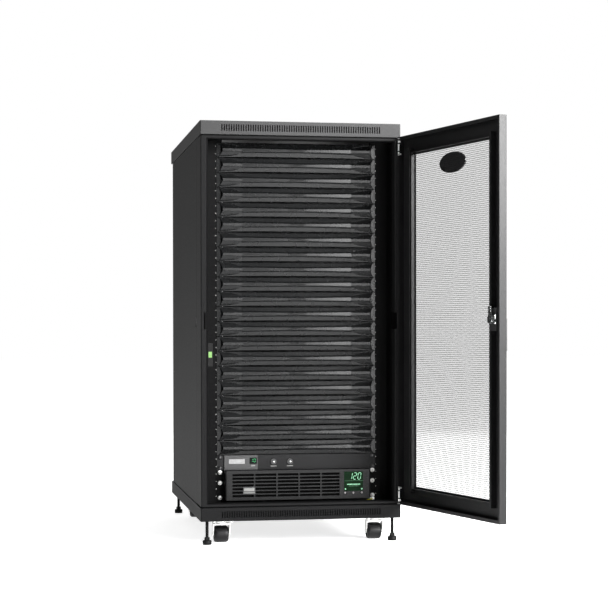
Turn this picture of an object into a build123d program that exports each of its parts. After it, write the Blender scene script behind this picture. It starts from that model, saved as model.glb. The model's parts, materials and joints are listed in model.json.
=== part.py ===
from build123d import *
import os
from math import cos, pi, radians, sin, tan

# A 24-unit network cabinet with a 2-unit rackmount UPS in its lowest bay, a metered power
# strip above it, snap-in blanking panels in the rest, and a perforated front door that
# stands open. Millimetres. X is to the right seen from the front, Y to the rear, Z up. The
# origin is on the floor under the centre of the cabinet.

# Rack standard: one unit, the panel width and the hole columns
UNIT = 44.45
UNITS = 24
PANEL_WIDTH = 482.6
HOLE_SPACING = 465.1
UNIT_HOLES = (6.35, 22.225, 38.1)
PANEL_GAP = 0.8

# Cabinet
WIDTH = 600
DEPTH = 920
SHEET = 2
BASE_Z = 70
BASE_TOP = 109.5
STACK_Z = 124
ROOF_Z = 1205
ROOF_TOP = 1245
SHADOW_GAP = 4
FRONT = -DEPTH / 2
REAR_FACE = 408
FRAME_X = WIDTH / 2 - 1.2
OPENING_X = 277
LIP = 6.5
POST_RETURN = 32
REAR_POST_RETURN = 22
FRONT_POST_DEPTH = 112
REAR_POST_DEPTH = 33
RAIL_FACE = -367
REAR_RAIL_FACE = 333
EAR = 2
MID_Z = (BASE_TOP + ROOF_Z) / 2
STRIKE_Z = 659

# Front door, drawn closed and then swung open about its pins
DOOR_Z = (112, 1204.5)
DOOR_X = (-296.9, 297.1)
DOOR_Y = (-485.5, -462.5)
DOOR_SHEET = 1.2
DOOR_WINDOW_X = (-226.9, 218)
DOOR_WINDOW_Z = (166, 1150.5)
PIN_X = 293
PIN_Y = -467
PIN_R = 2.5
RUNNING = 0.05
DOOR_OPEN = 104.4
DOOR_AXIS = Axis((PIN_X, PIN_Y, 0), (0, 0, 1))
LATCH_X = -257
REAR_PIN_Y = 415
REAR_LEAF_Y = (410.5, 433)

# Feet and casters
FOOT_X = 279
FOOT_Y = 435
WHEEL_R = 25
WHEEL_WIDTH = 42
CASTER_X = 232
CASTER_TRAIL = 14
CASTER_BOLTS = (50, 60)
FRONT_KINGPIN_Y = -399
REAR_KINGPIN_Y = 314

UPS_Z = STACK_Z
PDU_Z = STACK_Z + 2 * UNIT
BLANK_Z = STACK_Z + 3 * UNIT
UPS_SCREWS = (UPS_Z + 6.35, UPS_Z + UNIT + 6.35, UPS_Z + UNIT + 38.1)
PDU_SCREWS = (PDU_Z + 6.35, PDU_Z + 38.1)
BREAKER_X = (-71, -21.3)
BREAKER_Z = PDU_Z + 24
BUTTON_X = (142.3, 167.6, 193.8)
BUTTON_Z = 141.5
FAN_X = 150
FAN_Z = 168

os.makedirs("parts", exist_ok=True)


def write(piece, name, swing=0):
    """Label a finished piece and write it, swung open first when it rides on the door."""
    shape = piece.part.rotate(DOOR_AXIS, swing) if swing else piece.part
    shape.label = name
    export_step(shape, f"parts/{name}.step")


def block(x, y, z, mode=Mode.ADD):
    """A box given by its lowest and highest value on each axis."""
    middle = ((x[0] + x[1]) / 2, (y[0] + y[1]) / 2, (z[0] + z[1]) / 2)
    with Locations(middle):
        Box(x[1] - x[0], y[1] - y[0], z[1] - z[0], mode=mode)


def span(sign, first, second):
    """Two distances from the middle, on one side of it, as a low and a high value."""
    return sorted((sign * first, sign * second))


def about_middle(flip, first, second):
    """Two offsets above (1) or below (-1) mid height, as a low and a high height."""
    return sorted((MID_Z + flip * first, MID_Z + flip * second))


def rod(start, direction, radius, length, mode=Mode.ADD):
    """A round bar from a point along a direction."""
    with BuildSketch(Plane(origin=start, z_dir=direction)) as section:
        Circle(radius)
    extrude(section.sketch, amount=length, mode=mode)


def bent_sheet(plane, points, side, length):
    """Sheet metal folded along points, its thickness to the left (1) or the right (-1)."""
    runs = [(Vector(*b) - Vector(*a)).normalized() for a, b in zip(points, points[1:])]
    normals = [Vector(-run.Y, run.X) * side for run in runs]
    inner = []
    for point, before, after in zip(points, normals[:1] + normals, normals + normals[-1:]):
        mitre = (before + after) * (SHEET / (1 + before.dot(after)))
        inner.append((point[0] + mitre.X, point[1] + mitre.Y))
    with BuildSketch(plane) as section:
        with BuildLine():
            Polyline(*points, *reversed(inner), close=True)
        make_face()
    extrude(section.sketch, amount=length)


def vent_slots(z_middle):
    """The row of upright slots, cut through the front and the rear fascia at once."""
    count = 67
    pitch = 7.15
    with BuildSketch(Plane.XZ.offset(-FRONT + 1)) as slots:
        with Locations((0, z_middle)):
            with GridLocations(pitch, 1, count, 1):
                SlotOverall(20, 3.5, rotation=90)
    extrude(slots.sketch, amount=-(DEPTH + 2), mode=Mode.SUBTRACT)


# ---------------------------------------------------------------- cabinet shell
with BuildPart() as base_frame:
    height = BASE_TOP - BASE_Z
    with BuildSketch(Plane.XY.offset(BASE_Z)):
        RectangleRounded(WIDTH, DEPTH, 3)
    extrude(amount=height)
    with BuildSketch(Plane.XY.offset(BASE_Z + SHEET)):
        RectangleRounded(WIDTH - 2 * SHEET, DEPTH - 2 * SHEET, 1)
    extrude(amount=height - 2 * SHEET, mode=Mode.SUBTRACT)
    block((-240, 240), (-400, 400), (BASE_Z - 1, BASE_TOP + 1), Mode.SUBTRACT)
    for side in (-1, 1):
        shelf = span(side, 190, WIDTH / 2 - SHEET)
        block(shelf, (FRONT + SHEET, -350), (BASE_Z, BASE_Z + 3))
        block(shelf, (265, -FRONT - SHEET), (BASE_Z, BASE_Z + 3))
    block((-240, 240), (-400, 150), (BASE_TOP - SHEET, BASE_TOP))
    vent_slots((BASE_Z + BASE_TOP) / 2)
    with BuildSketch(Plane.XY.offset(BASE_Z - 1)) as base_holes:
        with GridLocations(2 * FOOT_X, 2 * FOOT_Y, 2, 2):
            Circle(5 + RUNNING)
        for kingpin_y in (FRONT_KINGPIN_Y, REAR_KINGPIN_Y):
            for side in (-1, 1):
                with Locations((side * CASTER_X, kingpin_y)):
                    with GridLocations(*CASTER_BOLTS, 2, 2):
                        Circle(4.3)
        with GridLocations(300, 860, 2, 2):
            Circle(5.5)
    extrude(amount=5, mode=Mode.SUBTRACT)
write(base_frame, "base_frame")

BRUSH_Y = (250, 300)
with BuildPart() as roof_cover:
    with BuildSketch(Plane.XY.offset(ROOF_Z)):
        RectangleRounded(WIDTH, DEPTH, 3)
    extrude(amount=ROOF_TOP - ROOF_Z)
    with BuildSketch(Plane.XY.offset(ROOF_Z + SHEET)):
        RectangleRounded(WIDTH - 2 * SHEET, DEPTH - 2 * SHEET, 1)
    extrude(amount=ROOF_TOP - ROOF_Z - 2 * SHEET, mode=Mode.SUBTRACT)
    block((-275, 275), (FRONT + 70, -FRONT - 110), (ROOF_Z - 1, ROOF_Z + 3), Mode.SUBTRACT)
    vent_slots((ROOF_Z + ROOF_TOP) / 2)
    for sign in (-1, 1):
        y_low, y_high = span(sign, BRUSH_Y[0], BRUSH_Y[1])
        block((-130, 130), (y_low, y_high), (ROOF_TOP - 5, ROOF_TOP + 1), Mode.SUBTRACT)
    with BuildSketch(Plane.XY.offset(ROOF_TOP - 3)):
        with GridLocations(530, 850, 2, 2):
            Circle(5.2)
    extrude(amount=5, mode=Mode.SUBTRACT)
write(roof_cover, "roof_cover")

with BuildPart() as cable_brushes:
    for sign in (-1, 1):
        for edge, inward in ((BRUSH_Y[0], 1), (BRUSH_Y[1], -1)):
            y_low, y_high = span(sign, edge - 10 * inward, edge + 18 * inward)
            block((-128, 128), (y_low, y_high), (ROOF_TOP - SHEET - 5, ROOF_TOP - SHEET))
write(cable_brushes, "cable_brushes")


def door_tab(pin_y, inward, z_low, z_high, sign=1):
    """A hinge tab welded to the frame's face, with the hole for a door pin."""
    face_y = FRONT if inward > 0 else REAR_FACE
    x_low, x_high = span(sign, 287.5, 297.5)
    y_low, y_high = sorted((pin_y, face_y + inward))
    block((x_low, x_high), (y_low, y_high), (z_low, z_high))
    rod((sign * PIN_X, pin_y, z_low), (0, 0, 1), 4.5, z_high - z_low)
    rod((sign * PIN_X, pin_y, z_low - 1), (0, 0, 1), PIN_R + RUNNING, z_high - z_low + 2,
        Mode.SUBTRACT)


def cabinet_frame(face, inward, post_depth, post_return):
    """A welded ring: two folded posts and a folded member above and below the doorway."""
    post_z = BASE_TOP + SHADOW_GAP
    post = (
        (-OPENING_X, face + post_return * inward),
        (-OPENING_X, face + LIP * inward),
        (-OPENING_X - LIP, face),
        (-FRAME_X, face),
        (-FRAME_X, face + post_depth * inward),
        (-OPENING_X, face + post_depth * inward),
    )
    bent_sheet(Plane.XY.offset(post_z), post, -inward, 2 * (MID_Z - post_z))
    corner = edges().filter_by(Axis.Z).filter_by(
        lambda e: abs(e.center().X + FRAME_X) < 0.1 and abs(e.center().Y - face) < 0.1)
    fillet(corner, 3)
    mirror(about=Plane.YZ)
    heights = (ROOF_Z - 13, ROOF_Z - 13, ROOF_Z - 10, ROOF_Z - SHADOW_GAP, ROOF_Z - SHADOW_GAP,
               ROOF_Z, ROOF_Z)
    depths = (post_return, 3, 0, 0, 8, 8, 60)
    for flip in (1, -1):
        member = [(face + depth * inward, MID_Z + flip * (z - MID_Z))
                  for depth, z in zip(depths, heights)]
        bent_sheet(Plane.YZ.offset(-FRAME_X + 3), member, -inward * flip, 2 * FRAME_X - 6)
    for sign in (-1, 1):
        x_low, x_high = span(sign, 292, 302)
        y_low, y_high = sorted((face - inward, face + 62 * inward))
        block((x_low, x_high), (y_low, y_high), (ROOF_Z - SHADOW_GAP, ROOF_Z + 1), Mode.SUBTRACT)
        block((x_low, x_high), (y_low, y_high), (BASE_TOP - 1, post_z), Mode.SUBTRACT)


TAB_TOP = (ROOF_Z - 10, ROOF_Z - 6)
TAB_BOTTOM = (BASE_TOP + 6, BASE_TOP + 10)
with BuildPart() as front_frame:
    cabinet_frame(FRONT, 1, FRONT_POST_DEPTH, POST_RETURN)
    for sign in (-1, 1):
        block(span(sign, OPENING_X - 1, 290), (FRONT - 1, FRONT + POST_RETURN + 1),
              (STRIKE_Z - 25, STRIKE_Z + 25), Mode.SUBTRACT)
        for flip in (1, -1):
            block(span(sign, 290, 292), (FRONT + 58, FRONT + FRONT_POST_DEPTH),
                  about_middle(flip, ROOF_Z - 14 - MID_Z, ROOF_Z - MID_Z))
    for z_low, z_high in (TAB_TOP, TAB_BOTTOM):
        door_tab(PIN_Y, 1, z_low, z_high)
write(front_frame, "front_frame")

with BuildPart() as rear_frame:
    cabinet_frame(REAR_FACE, -1, REAR_POST_DEPTH, REAR_POST_RETURN)
    for z_low, z_high in (TAB_TOP, TAB_BOTTOM):
        for sign in (-1, 1):
            door_tab(REAR_PIN_Y, -1, z_low, z_high, sign)
write(rear_frame, "rear_frame")

BRACE_Y = (FRONT + FRONT_POST_DEPTH, REAR_FACE - REAR_POST_DEPTH)
with BuildPart() as depth_braces:
    for z in (115, 640, 1165):
        for sign in (-1, 1):
            x_low, x_high = span(sign, OPENING_X, OPENING_X + 12)
            block((x_low, x_high), BRACE_Y, (z, z + 34))
            block((x_low + SHEET, x_high - SHEET), (BRACE_Y[0] - 1, BRACE_Y[1] + 1),
                  (z + SHEET, z + 34 - SHEET), Mode.SUBTRACT)
write(depth_braces, "depth_braces")

RAIL_Z = (115.5, 1199)
HOLE_HEIGHTS = [STACK_Z + unit * UNIT + hole for unit in range(UNITS) for hole in UNIT_HOLES]


def mounting_rails(face, inward):
    """A left and a right rail, each an angle with three square holes in every unit."""
    for sign in (-1, 1):
        x_low, x_high = span(sign, 225, OPENING_X)
        y_low, y_high = sorted((face, face + SHEET * inward))
        block((x_low, x_high), (y_low, y_high), RAIL_Z)
        x_low, x_high = span(sign, OPENING_X - SHEET, OPENING_X)
        y_low, y_high = sorted((face, face + 47 * inward))
        block((x_low, x_high), (y_low, y_high), RAIL_Z)
    with BuildSketch(Plane.XZ.offset(-face + 5)) as holes:
        with Locations(*[(sign * HOLE_SPACING / 2, z) for sign in (-1, 1) for z in HOLE_HEIGHTS]):
            Rectangle(9.5, 9.5)
    extrude(holes.sketch, amount=-10, mode=Mode.SUBTRACT)


with BuildPart() as front_mounting_rails:
    mounting_rails(RAIL_FACE, 1)
write(front_mounting_rails, "front_mounting_rails")

with BuildPart() as rear_mounting_rails:
    mounting_rails(REAR_RAIL_FACE, -1)
write(rear_mounting_rails, "rear_mounting_rails")

# Side panels: shallow lift-off trays between the posts, each with a slide latch
PANEL_Y = (BRACE_Y[0] + 2, BRACE_Y[1] - 2)
PANEL_Z = (112, 1202.5)
LATCH_HOLE_Y = (-333, -317)
LATCH_HOLE_Z = (641, 669)
for name, sign in (("left", -1), ("right", 1)):
    with BuildPart() as side_panel:
        x_low, x_high = span(sign, FRAME_X - 9, FRAME_X)
        block((x_low, x_high), PANEL_Y, PANEL_Z)
        x_low, x_high = span(sign, FRAME_X - 10, FRAME_X - DOOR_SHEET)
        block((x_low, x_high), (PANEL_Y[0] + DOOR_SHEET, PANEL_Y[1] - DOOR_SHEET),
              (PANEL_Z[0] + DOOR_SHEET, PANEL_Z[1] - DOOR_SHEET), Mode.SUBTRACT)
        x_low, x_high = span(sign, FRAME_X - 3, FRAME_X + 1)
        block((x_low, x_high), LATCH_HOLE_Y, LATCH_HOLE_Z, Mode.SUBTRACT)
    write(side_panel, f"side_panel_{name}")
    with BuildPart() as side_latch:
        x_low, x_high = span(sign, FRAME_X - DOOR_SHEET - 0.4, FRAME_X - 0.6)
        block((x_low, x_high), (LATCH_HOLE_Y[0] + 0.4, LATCH_HOLE_Y[1] - 0.4),
              (LATCH_HOLE_Z[1] - 18, LATCH_HOLE_Z[1] - 0.5))
        x_low, x_high = span(sign, FRAME_X - DOOR_SHEET - 0.4, FRAME_X - 4.5)
        block((x_low, x_high), (LATCH_HOLE_Y[0] - 4, LATCH_HOLE_Y[1] + 4),
              (LATCH_HOLE_Z[1] - 24, LATCH_HOLE_Z[1] + 6))
    write(side_latch, f"side_latch_{name}")

# ---------------------------------------------------------------- blanking panels
CREST = 14
with BuildPart() as blank_shape:
    tall = UNIT - PANEL_GAP
    with BuildSketch(Plane.XZ.offset(-RAIL_FACE)):
        Rectangle(PANEL_WIDTH, tall)
    extrude(amount=EAR)
    with BuildSketch(Plane.XZ.offset(-RAIL_FACE + EAR)):
        Rectangle(PANEL_WIDTH, tall)
    with BuildSketch(Plane.XZ.offset(-RAIL_FACE + EAR + CREST)):
        Rectangle(PANEL_WIDTH - 38, 8)
    loft()
    with BuildSketch(Plane.XZ.offset(-RAIL_FACE)):
        Rectangle(HOLE_SPACING - 22, tall - 5)
    with BuildSketch(Plane.XZ.offset(-RAIL_FACE + CREST)):
        Rectangle(HOLE_SPACING - 42, 6)
    loft(mode=Mode.SUBTRACT)
    with BuildSketch(Plane.XZ.offset(-RAIL_FACE)):
        with GridLocations(HOLE_SPACING, UNIT_HOLES[2] - UNIT_HOLES[0], 2, 2):
            Rectangle(8, 8)
    extrude(amount=-9)

with BuildPart() as blanking_panels:
    for row in range(UNITS - 3):
        with Locations((0, 0, BLANK_Z + (row + 0.5) * UNIT)):
            add(blank_shape.part)
write(blanking_panels, "blanking_panels")

# ---------------------------------------------------------------- metered power strip, 1 unit
PDU_BACK = -190
PDU_WINDOW_X = (-144, -122)
PDU_WINDOW_Z = (PDU_Z + 18, PDU_Z + 36.5)
pdu_low = PDU_Z + PANEL_GAP / 2
pdu_high = PDU_Z + UNIT - PANEL_GAP / 2
with BuildPart() as pdu_faceplate:
    block((-PANEL_WIDTH / 2, PANEL_WIDTH / 2), (RAIL_FACE - EAR, RAIL_FACE), (pdu_low, pdu_high))
    block((-220, 220), (RAIL_FACE - 6, RAIL_FACE - EAR), (pdu_low, pdu_high))
    for x in BREAKER_X:
        rod((x, RAIL_FACE - 6, BREAKER_Z), (0, -1, 0), 8, 4)
        rod((x, RAIL_FACE + 1, BREAKER_Z), (0, -1, 0), 3.6, 14, Mode.SUBTRACT)
    block(PDU_WINDOW_X, (RAIL_FACE - 7, RAIL_FACE + 1), PDU_WINDOW_Z, Mode.SUBTRACT)
    with BuildSketch(Plane.XZ.offset(-RAIL_FACE + 4)):
        with Locations(*[(sign * HOLE_SPACING / 2, z) for sign in (-1, 1) for z in PDU_SCREWS]):
            Circle(3.3)
    extrude(amount=-8, mode=Mode.SUBTRACT)
write(pdu_faceplate, "pdu_faceplate")

with BuildPart() as pdu_housing:
    block((-217, 217), (RAIL_FACE, PDU_BACK), (pdu_low + 0.6, pdu_high - 0.6))
    block((-215.5, 215.5), (RAIL_FACE - 1, PDU_BACK + 1), (pdu_low + 2, pdu_high - 2),
          Mode.SUBTRACT)
write(pdu_housing, "pdu_housing")

with BuildPart() as pdu_display:
    block((PDU_WINDOW_X[0] + 0.2, PDU_WINDOW_X[1] - 0.2), (RAIL_FACE - 5.5, RAIL_FACE + 4),
          (PDU_WINDOW_Z[0] + 0.2, PDU_WINDOW_Z[1] - 0.2))
    block((-160, -106), (RAIL_FACE + 4, RAIL_FACE + 6), (pdu_low + 3, pdu_high - 3))
write(pdu_display, "pdu_display")

for name, x in zip(("left", "right"), BREAKER_X):
    with BuildPart() as pdu_breaker:
        rod((x, RAIL_FACE - 13, BREAKER_Z), (0, 1, 0), 3.25, 20)
        fillet(pdu_breaker.faces().sort_by(Axis.Y)[0].edges(), 0.8)
    write(pdu_breaker, f"pdu_breaker_{name}")

with BuildPart() as pdu_outlets:
    block((-215.5, 215.5), (PDU_BACK - 12, PDU_BACK), (pdu_low + 2, pdu_high - 2))
    with BuildSketch(Plane.XZ.offset(-PDU_BACK)):
        with Locations((0, (pdu_low + pdu_high) / 2)):
            with GridLocations(50, 1, 8, 1):
                RectangleRounded(32, 26, 4)
    extrude(amount=-1.5)
write(pdu_outlets, "pdu_outlets")

# ---------------------------------------------------------------- UPS, 2 units
UPS_X = 217
UPS_BACK = 110
ups_low = UPS_Z + 1.2
ups_high = UPS_Z + 2 * UNIT - 1.2
with BuildPart() as ups_chassis:
    block((-UPS_X, UPS_X), (RAIL_FACE, UPS_BACK), (ups_low, ups_high - 1.5))
    block((-UPS_X + 1.5, UPS_X - 1.5), (RAIL_FACE - 1, UPS_BACK - 1.5),
          (ups_low + 1.5, ups_high + 1), Mode.SUBTRACT)
    for sign in (-1, 1):
        x_low, x_high = span(sign, UPS_X - 1, PANEL_WIDTH / 2)
        block((x_low, x_high), (RAIL_FACE - EAR, RAIL_FACE), (ups_low, ups_high - 1.5))
    with BuildSketch(Plane.XZ.offset(-RAIL_FACE + 4)):
        with Locations(*[(sign * HOLE_SPACING / 2, z) for sign in (-1, 1) for z in UPS_SCREWS]):
            Circle(3.3)
    extrude(amount=-8, mode=Mode.SUBTRACT)
    rod((FAN_X, UPS_BACK - 3, FAN_Z), (0, 1, 0), 37, 6, Mode.SUBTRACT)
write(ups_chassis, "ups_chassis")

with BuildPart() as ups_top_cover:
    block((-UPS_X, UPS_X), (RAIL_FACE, UPS_BACK), (ups_high - 1.5, ups_high))
write(ups_top_cover, "ups_top_cover")

BEZEL_X = 220
BEZEL_Y = RAIL_FACE - 32
GRILLE_COLUMNS = ((-199, -134), (-130, -66.5), (-62.5, 0.5), (4.5, 67), (71, 126))
GRILLE_PITCH = 10.4
LCD_X = (139.2, 198)
LCD_Z = (146.5, 205.5)
with BuildPart() as ups_bezel:
    low = UPS_Z + 0.6
    high = UPS_Z + 2 * UNIT - 0.6
    block((-BEZEL_X, BEZEL_X), (BEZEL_Y, RAIL_FACE - EAR), (low, high))
    fillet(ups_bezel.edges().filter_by(Axis.Z).group_by(Axis.Y)[0], 5)
    block((-BEZEL_X + 2.5, BEZEL_X - 2.5), (BEZEL_Y + 3, RAIL_FACE), (low + 2.5, high - 2.5),
          Mode.SUBTRACT)
    for x in GRILLE_COLUMNS:
        for slot in range(7):
            z = (low + high) / 2 + (slot - 3) * GRILLE_PITCH
            block(x, (BEZEL_Y - 1, BEZEL_Y + 4), (z - 3.5, z + 3.5), Mode.SUBTRACT)
    block(LCD_X, (BEZEL_Y - 1, BEZEL_Y + 4), LCD_Z, Mode.SUBTRACT)
    for x in BUTTON_X:
        rod((x, BEZEL_Y - 1, BUTTON_Z), (0, 1, 0), 3.1, 5, Mode.SUBTRACT)
write(ups_bezel, "ups_bezel")

with BuildPart() as ups_display:
    block((LCD_X[0] + 0.3, LCD_X[1] - 0.3), (BEZEL_Y - 0.8, BEZEL_Y + 9),
          (LCD_Z[0] + 0.3, LCD_Z[1] - 0.3))
    block((LCD_X[0] - 4, LCD_X[1] + 4), (BEZEL_Y + 9, BEZEL_Y + 11), (low + 4, high - 4))
write(ups_display, "ups_display")

for name, x in zip(("left", "middle", "right"), BUTTON_X):
    with BuildPart() as ups_button:
        rod((x, BEZEL_Y - 1.8, BUTTON_Z), (0, 1, 0), 2.8, 8.5)
        fillet(ups_button.faces().sort_by(Axis.Y)[0].edges(), 0.6)
    write(ups_button, f"ups_button_{name}")

with BuildPart() as ups_battery_pack:
    block((-206, 75), (-360, -130), (ups_low + 1.5, ups_high - 8))
    fillet(ups_battery_pack.edges().filter_by(Axis.Z), 3)
    for x in (-120, -20):
        block((x - 8, x + 8), (-364, -360), (UPS_Z + 35, UPS_Z + 55))
write(ups_battery_pack, "ups_battery_pack")

with BuildPart() as ups_power_board:
    board_z = ups_low + 8
    block((-205, 100), (-110, 95), (board_z, board_z + 1.6))
    for x in (-190, -50, 85):
        for y in (-98, 82):
            rod((x, y, ups_low + 1.5), (0, 0, 1), 3, board_z - ups_low - 1.5)
    block((-190, -100), (-60, 30), (board_z + 1.6, ups_high - 8))
    for fin in range(9):
        x = -60 + fin * 9
        block((x, x + 3), (-90, 60), (board_z + 1.6, ups_high - 14))
    block((-60, 15), (-90, 60), (board_z + 1.6, board_z + 6))
    for x in (40, 72):
        rod((x, -60, board_z + 1.6), (0, 0, 1), 14, 45)
write(ups_power_board, "ups_power_board")

with BuildPart() as ups_fan_frame:
    block((FAN_X - 40, FAN_X + 40), (UPS_BACK - 26.5, UPS_BACK - 1.5), (FAN_Z - 40, FAN_Z + 40))
    rod((FAN_X, UPS_BACK - 30, FAN_Z), (0, 1, 0), 38, 30, Mode.SUBTRACT)
    rod((FAN_X, UPS_BACK - 26.5, FAN_Z), (0, 1, 0), 17, 4)
    for turn in range(4):
        angle = radians(45 + 90 * turn)
        spoke = Plane(origin=(FAN_X, UPS_BACK - 26.5, FAN_Z), x_dir=(cos(angle), 0, sin(angle)),
                      z_dir=(0, 1, 0))
        with BuildSketch(spoke) as spoke_section:
            with Locations((27.5, 0)):
                Rectangle(23, 4)
        extrude(spoke_section.sketch, amount=3)
    rod((FAN_X, UPS_BACK - 22.5, FAN_Z), (0, 1, 0), 2, 12)
write(ups_fan_frame, "ups_fan_frame")

with BuildPart() as ups_fan_rotor:
    rod((FAN_X, UPS_BACK - 22, FAN_Z), (0, 1, 0), 17, 18)
    for turn in range(7):
        angle = 2 * pi * turn / 7
        out = (cos(angle), 0.0, sin(angle))
        blade = Plane(origin=(FAN_X, UPS_BACK - 13, FAN_Z), x_dir=(-sin(angle), 0.9, cos(angle)),
                      z_dir=out)
        with BuildSketch(blade) as blade_section:
            Rectangle(20, 1.6)
        extrude(blade_section.sketch, amount=36)
    rod((FAN_X, UPS_BACK - 23, FAN_Z), (0, 1, 0), 2 + RUNNING, 14, Mode.SUBTRACT)
write(ups_fan_rotor, "ups_fan_rotor")

with BuildPart() as ups_outlets:
    block((-195, 75), (UPS_BACK, UPS_BACK + 8), (UPS_Z + 8, UPS_Z + 80))
    with BuildSketch(Plane.XZ.offset(-UPS_BACK - 8)):
        with Locations((-60, UPS_Z + 44)):
            with GridLocations(42, 34, 6, 2):
                RectangleRounded(32, 26, 4)
    extrude(amount=-1.5)
write(ups_outlets, "ups_outlets")

with BuildPart() as ups_support_rails:
    for sign in (-1, 1):
        rail_ends = (RAIL_FACE + SHEET, REAR_RAIL_FACE - SHEET)
        x_low, x_high = span(sign, UPS_X + 1, UPS_X + 3)
        block((x_low, x_high), rail_ends, (ups_low - 1.5, ups_low + 40))
        x_low, x_high = span(sign, UPS_X - 14, UPS_X + 3)
        block((x_low, x_high), rail_ends, (ups_low - 1.5, ups_low))
        x_low, x_high = span(sign, UPS_X + 1, 226.5)
        block((x_low, x_high), (rail_ends[0], rail_ends[0] + SHEET), (ups_low - 1.5, ups_low + 40))
        block((x_low, x_high), (rail_ends[1] - SHEET, rail_ends[1]), (ups_low - 1.5, ups_low + 40))
write(ups_support_rails, "ups_support_rails")

# ---------------------------------------------------------------- rack hardware
EAR_FACE = RAIL_FACE - EAR
SCREW_PLACES = [(sign * HOLE_SPACING / 2, z) for sign in (-1, 1) for z in UPS_SCREWS + PDU_SCREWS]
with BuildPart() as rack_screws:
    for x, z in SCREW_PLACES:
        rod((x, EAR_FACE - 1.8, z), (0, 1, 0), 6.2, 1.8)
        rod((x, EAR_FACE - 4.8, z), (0, 1, 0), 4.6, 3)
        rod((x, EAR_FACE, z), (0, 1, 0), 3, 16)
write(rack_screws, "rack_screws")

with BuildPart() as cage_nuts:
    for x, z in SCREW_PLACES:
        y = RAIL_FACE + SHEET
        block((x - 5.5, x + 5.5), (y, y + 6), (z - 5.5, z + 5.5))
        rod((x, y - 1, z), (0, 1, 0), 3, 9, Mode.SUBTRACT)
write(cage_nuts, "cage_nuts")

SENSOR_Z = 559
with BuildPart() as door_sensor:
    block((-OPENING_X, -OPENING_X + 14), (-452, -430), (SENSOR_Z - 34, SENSOR_Z + 34))
    fillet(door_sensor.edges().filter_by(Axis.Z).group_by(Axis.X)[-1], 2)
write(door_sensor, "door_sensor")


def fillet_radii(route):
    """The largest tangent arc that each corner's two runs allow."""
    radii = []
    for before, corner, after in zip(route, route[1:], route[2:]):
        run_in = Vector(*corner) - Vector(*before)
        run_out = Vector(*after) - Vector(*corner)
        turn = radians(run_in.get_angle(run_out))
        radii.append(0.45 * min(run_in.length, run_out.length) / tan(turn / 2))
    return radii


BOND_ROUTE = [(232, -371, 119.5), (226, -380.5, 119.7), (217, -387.5, 118.8), (207, -393, 116.4),
              (198, -399.5, 114.7)]
BOND_R = 2
with BuildPart() as bonding_wire:
    bond_radii = fillet_radii(BOND_ROUTE)
    with BuildLine() as bond_path:
        FilletPolyline(*BOND_ROUTE, radius=bond_radii)
    with BuildSketch(Plane(origin=BOND_ROUTE[0], z_dir=bond_path.wire() % 0)):
        Circle(BOND_R)
    sweep(path=bond_path.wire())
    wire_volume = bonding_wire.part.volume
    block((225, 239), (-370, RAIL_FACE), (116, 123.5))
    block((190, 202), (-407, -395), (BASE_TOP + SHEET, BASE_TOP + SHEET + 1.5))
print("bonding wire radii", [round(radius, 1) for radius in bond_radii],
      "volume", round(wire_volume, 1),
      "section x length", round(pi * BOND_R ** 2 * bond_path.wire().length, 1))
write(bonding_wire, "bonding_wire")

# ---------------------------------------------------------------- front door
WALL_X = (DOOR_X[0] + DOOR_SHEET, DOOR_X[1] - DOOR_SHEET)
SKIN_Y = DOOR_Y[0] + DOOR_SHEET
STIFFENER_Y = -468
with BuildPart() as door_frame:
    block(DOOR_X, DOOR_Y, DOOR_Z)
    fillet(door_frame.edges().filter_by(Axis.Z).group_by(Axis.Y)[0], 2.5)
    block(WALL_X, (SKIN_Y, DOOR_Y[1] + 1), (DOOR_Z[0] + DOOR_SHEET, DOOR_Z[1] - DOOR_SHEET),
          Mode.SUBTRACT)
    rim_y = (DOOR_Y[1] - DOOR_SHEET, DOOR_Y[1])
    block((DOOR_X[0], DOOR_X[0] + 10), rim_y, DOOR_Z)
    block((DOOR_X[0], 280), rim_y, (DOOR_Z[1] - 10, DOOR_Z[1]))
    block((DOOR_X[0], 280), rim_y, (DOOR_Z[0], DOOR_Z[0] + 10))
    block((DOOR_WINDOW_X[0] - 4, DOOR_WINDOW_X[1] + 4), (SKIN_Y, -471),
          (DOOR_WINDOW_Z[0] - 4, DOOR_WINDOW_Z[1] + 4))
    block((DOOR_WINDOW_X[0] - 2, DOOR_WINDOW_X[1] + 2), (SKIN_Y, -470),
          (DOOR_WINDOW_Z[0] - 2, DOOR_WINDOW_Z[1] + 2), Mode.SUBTRACT)
    block(DOOR_WINDOW_X, (DOOR_Y[0] - 1, SKIN_Y + 1), DOOR_WINDOW_Z, Mode.SUBTRACT)
    for x_low, x_high in ((226, 258), (-243.9, -233.9)):
        block((x_low, x_high), (SKIN_Y, STIFFENER_Y), (150, 1166))
        block((x_low + 1.5, x_high - 1.5), (SKIN_Y, STIFFENER_Y - 1.5), (149, 1167), Mode.SUBTRACT)
    for flip in (-1, 1):
        block((WALL_X[1] - 1, DOOR_X[1] + 1), (-474, DOOR_Y[1] + 1),
              about_middle(flip, 532, 545), Mode.SUBTRACT)
        for ear in (504, 527):
            ear_z = about_middle(flip, ear, ear + 3)
            block((286, WALL_X[1] + 0.5), (-473, DOOR_Y[1]), ear_z)
            rod((PIN_X, PIN_Y, ear_z[0] - 1), (0, 0, 1), PIN_R + RUNNING, 5, Mode.SUBTRACT)
    rod((LATCH_X, DOOR_Y[0] - 1, STRIKE_Z), (0, 1, 0), 9, 4, Mode.SUBTRACT)
write(door_frame, "door_frame", DOOR_OPEN)

with BuildPart() as door_mesh:
    block((DOOR_WINDOW_X[0] - 1.9, DOOR_WINDOW_X[1] + 1.9), (SKIN_Y, SKIN_Y + 1),
          (DOOR_WINDOW_Z[0] - 1.9, DOOR_WINDOW_Z[1] + 1.9))
write(door_mesh, "door_mesh", DOOR_OPEN)

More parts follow.
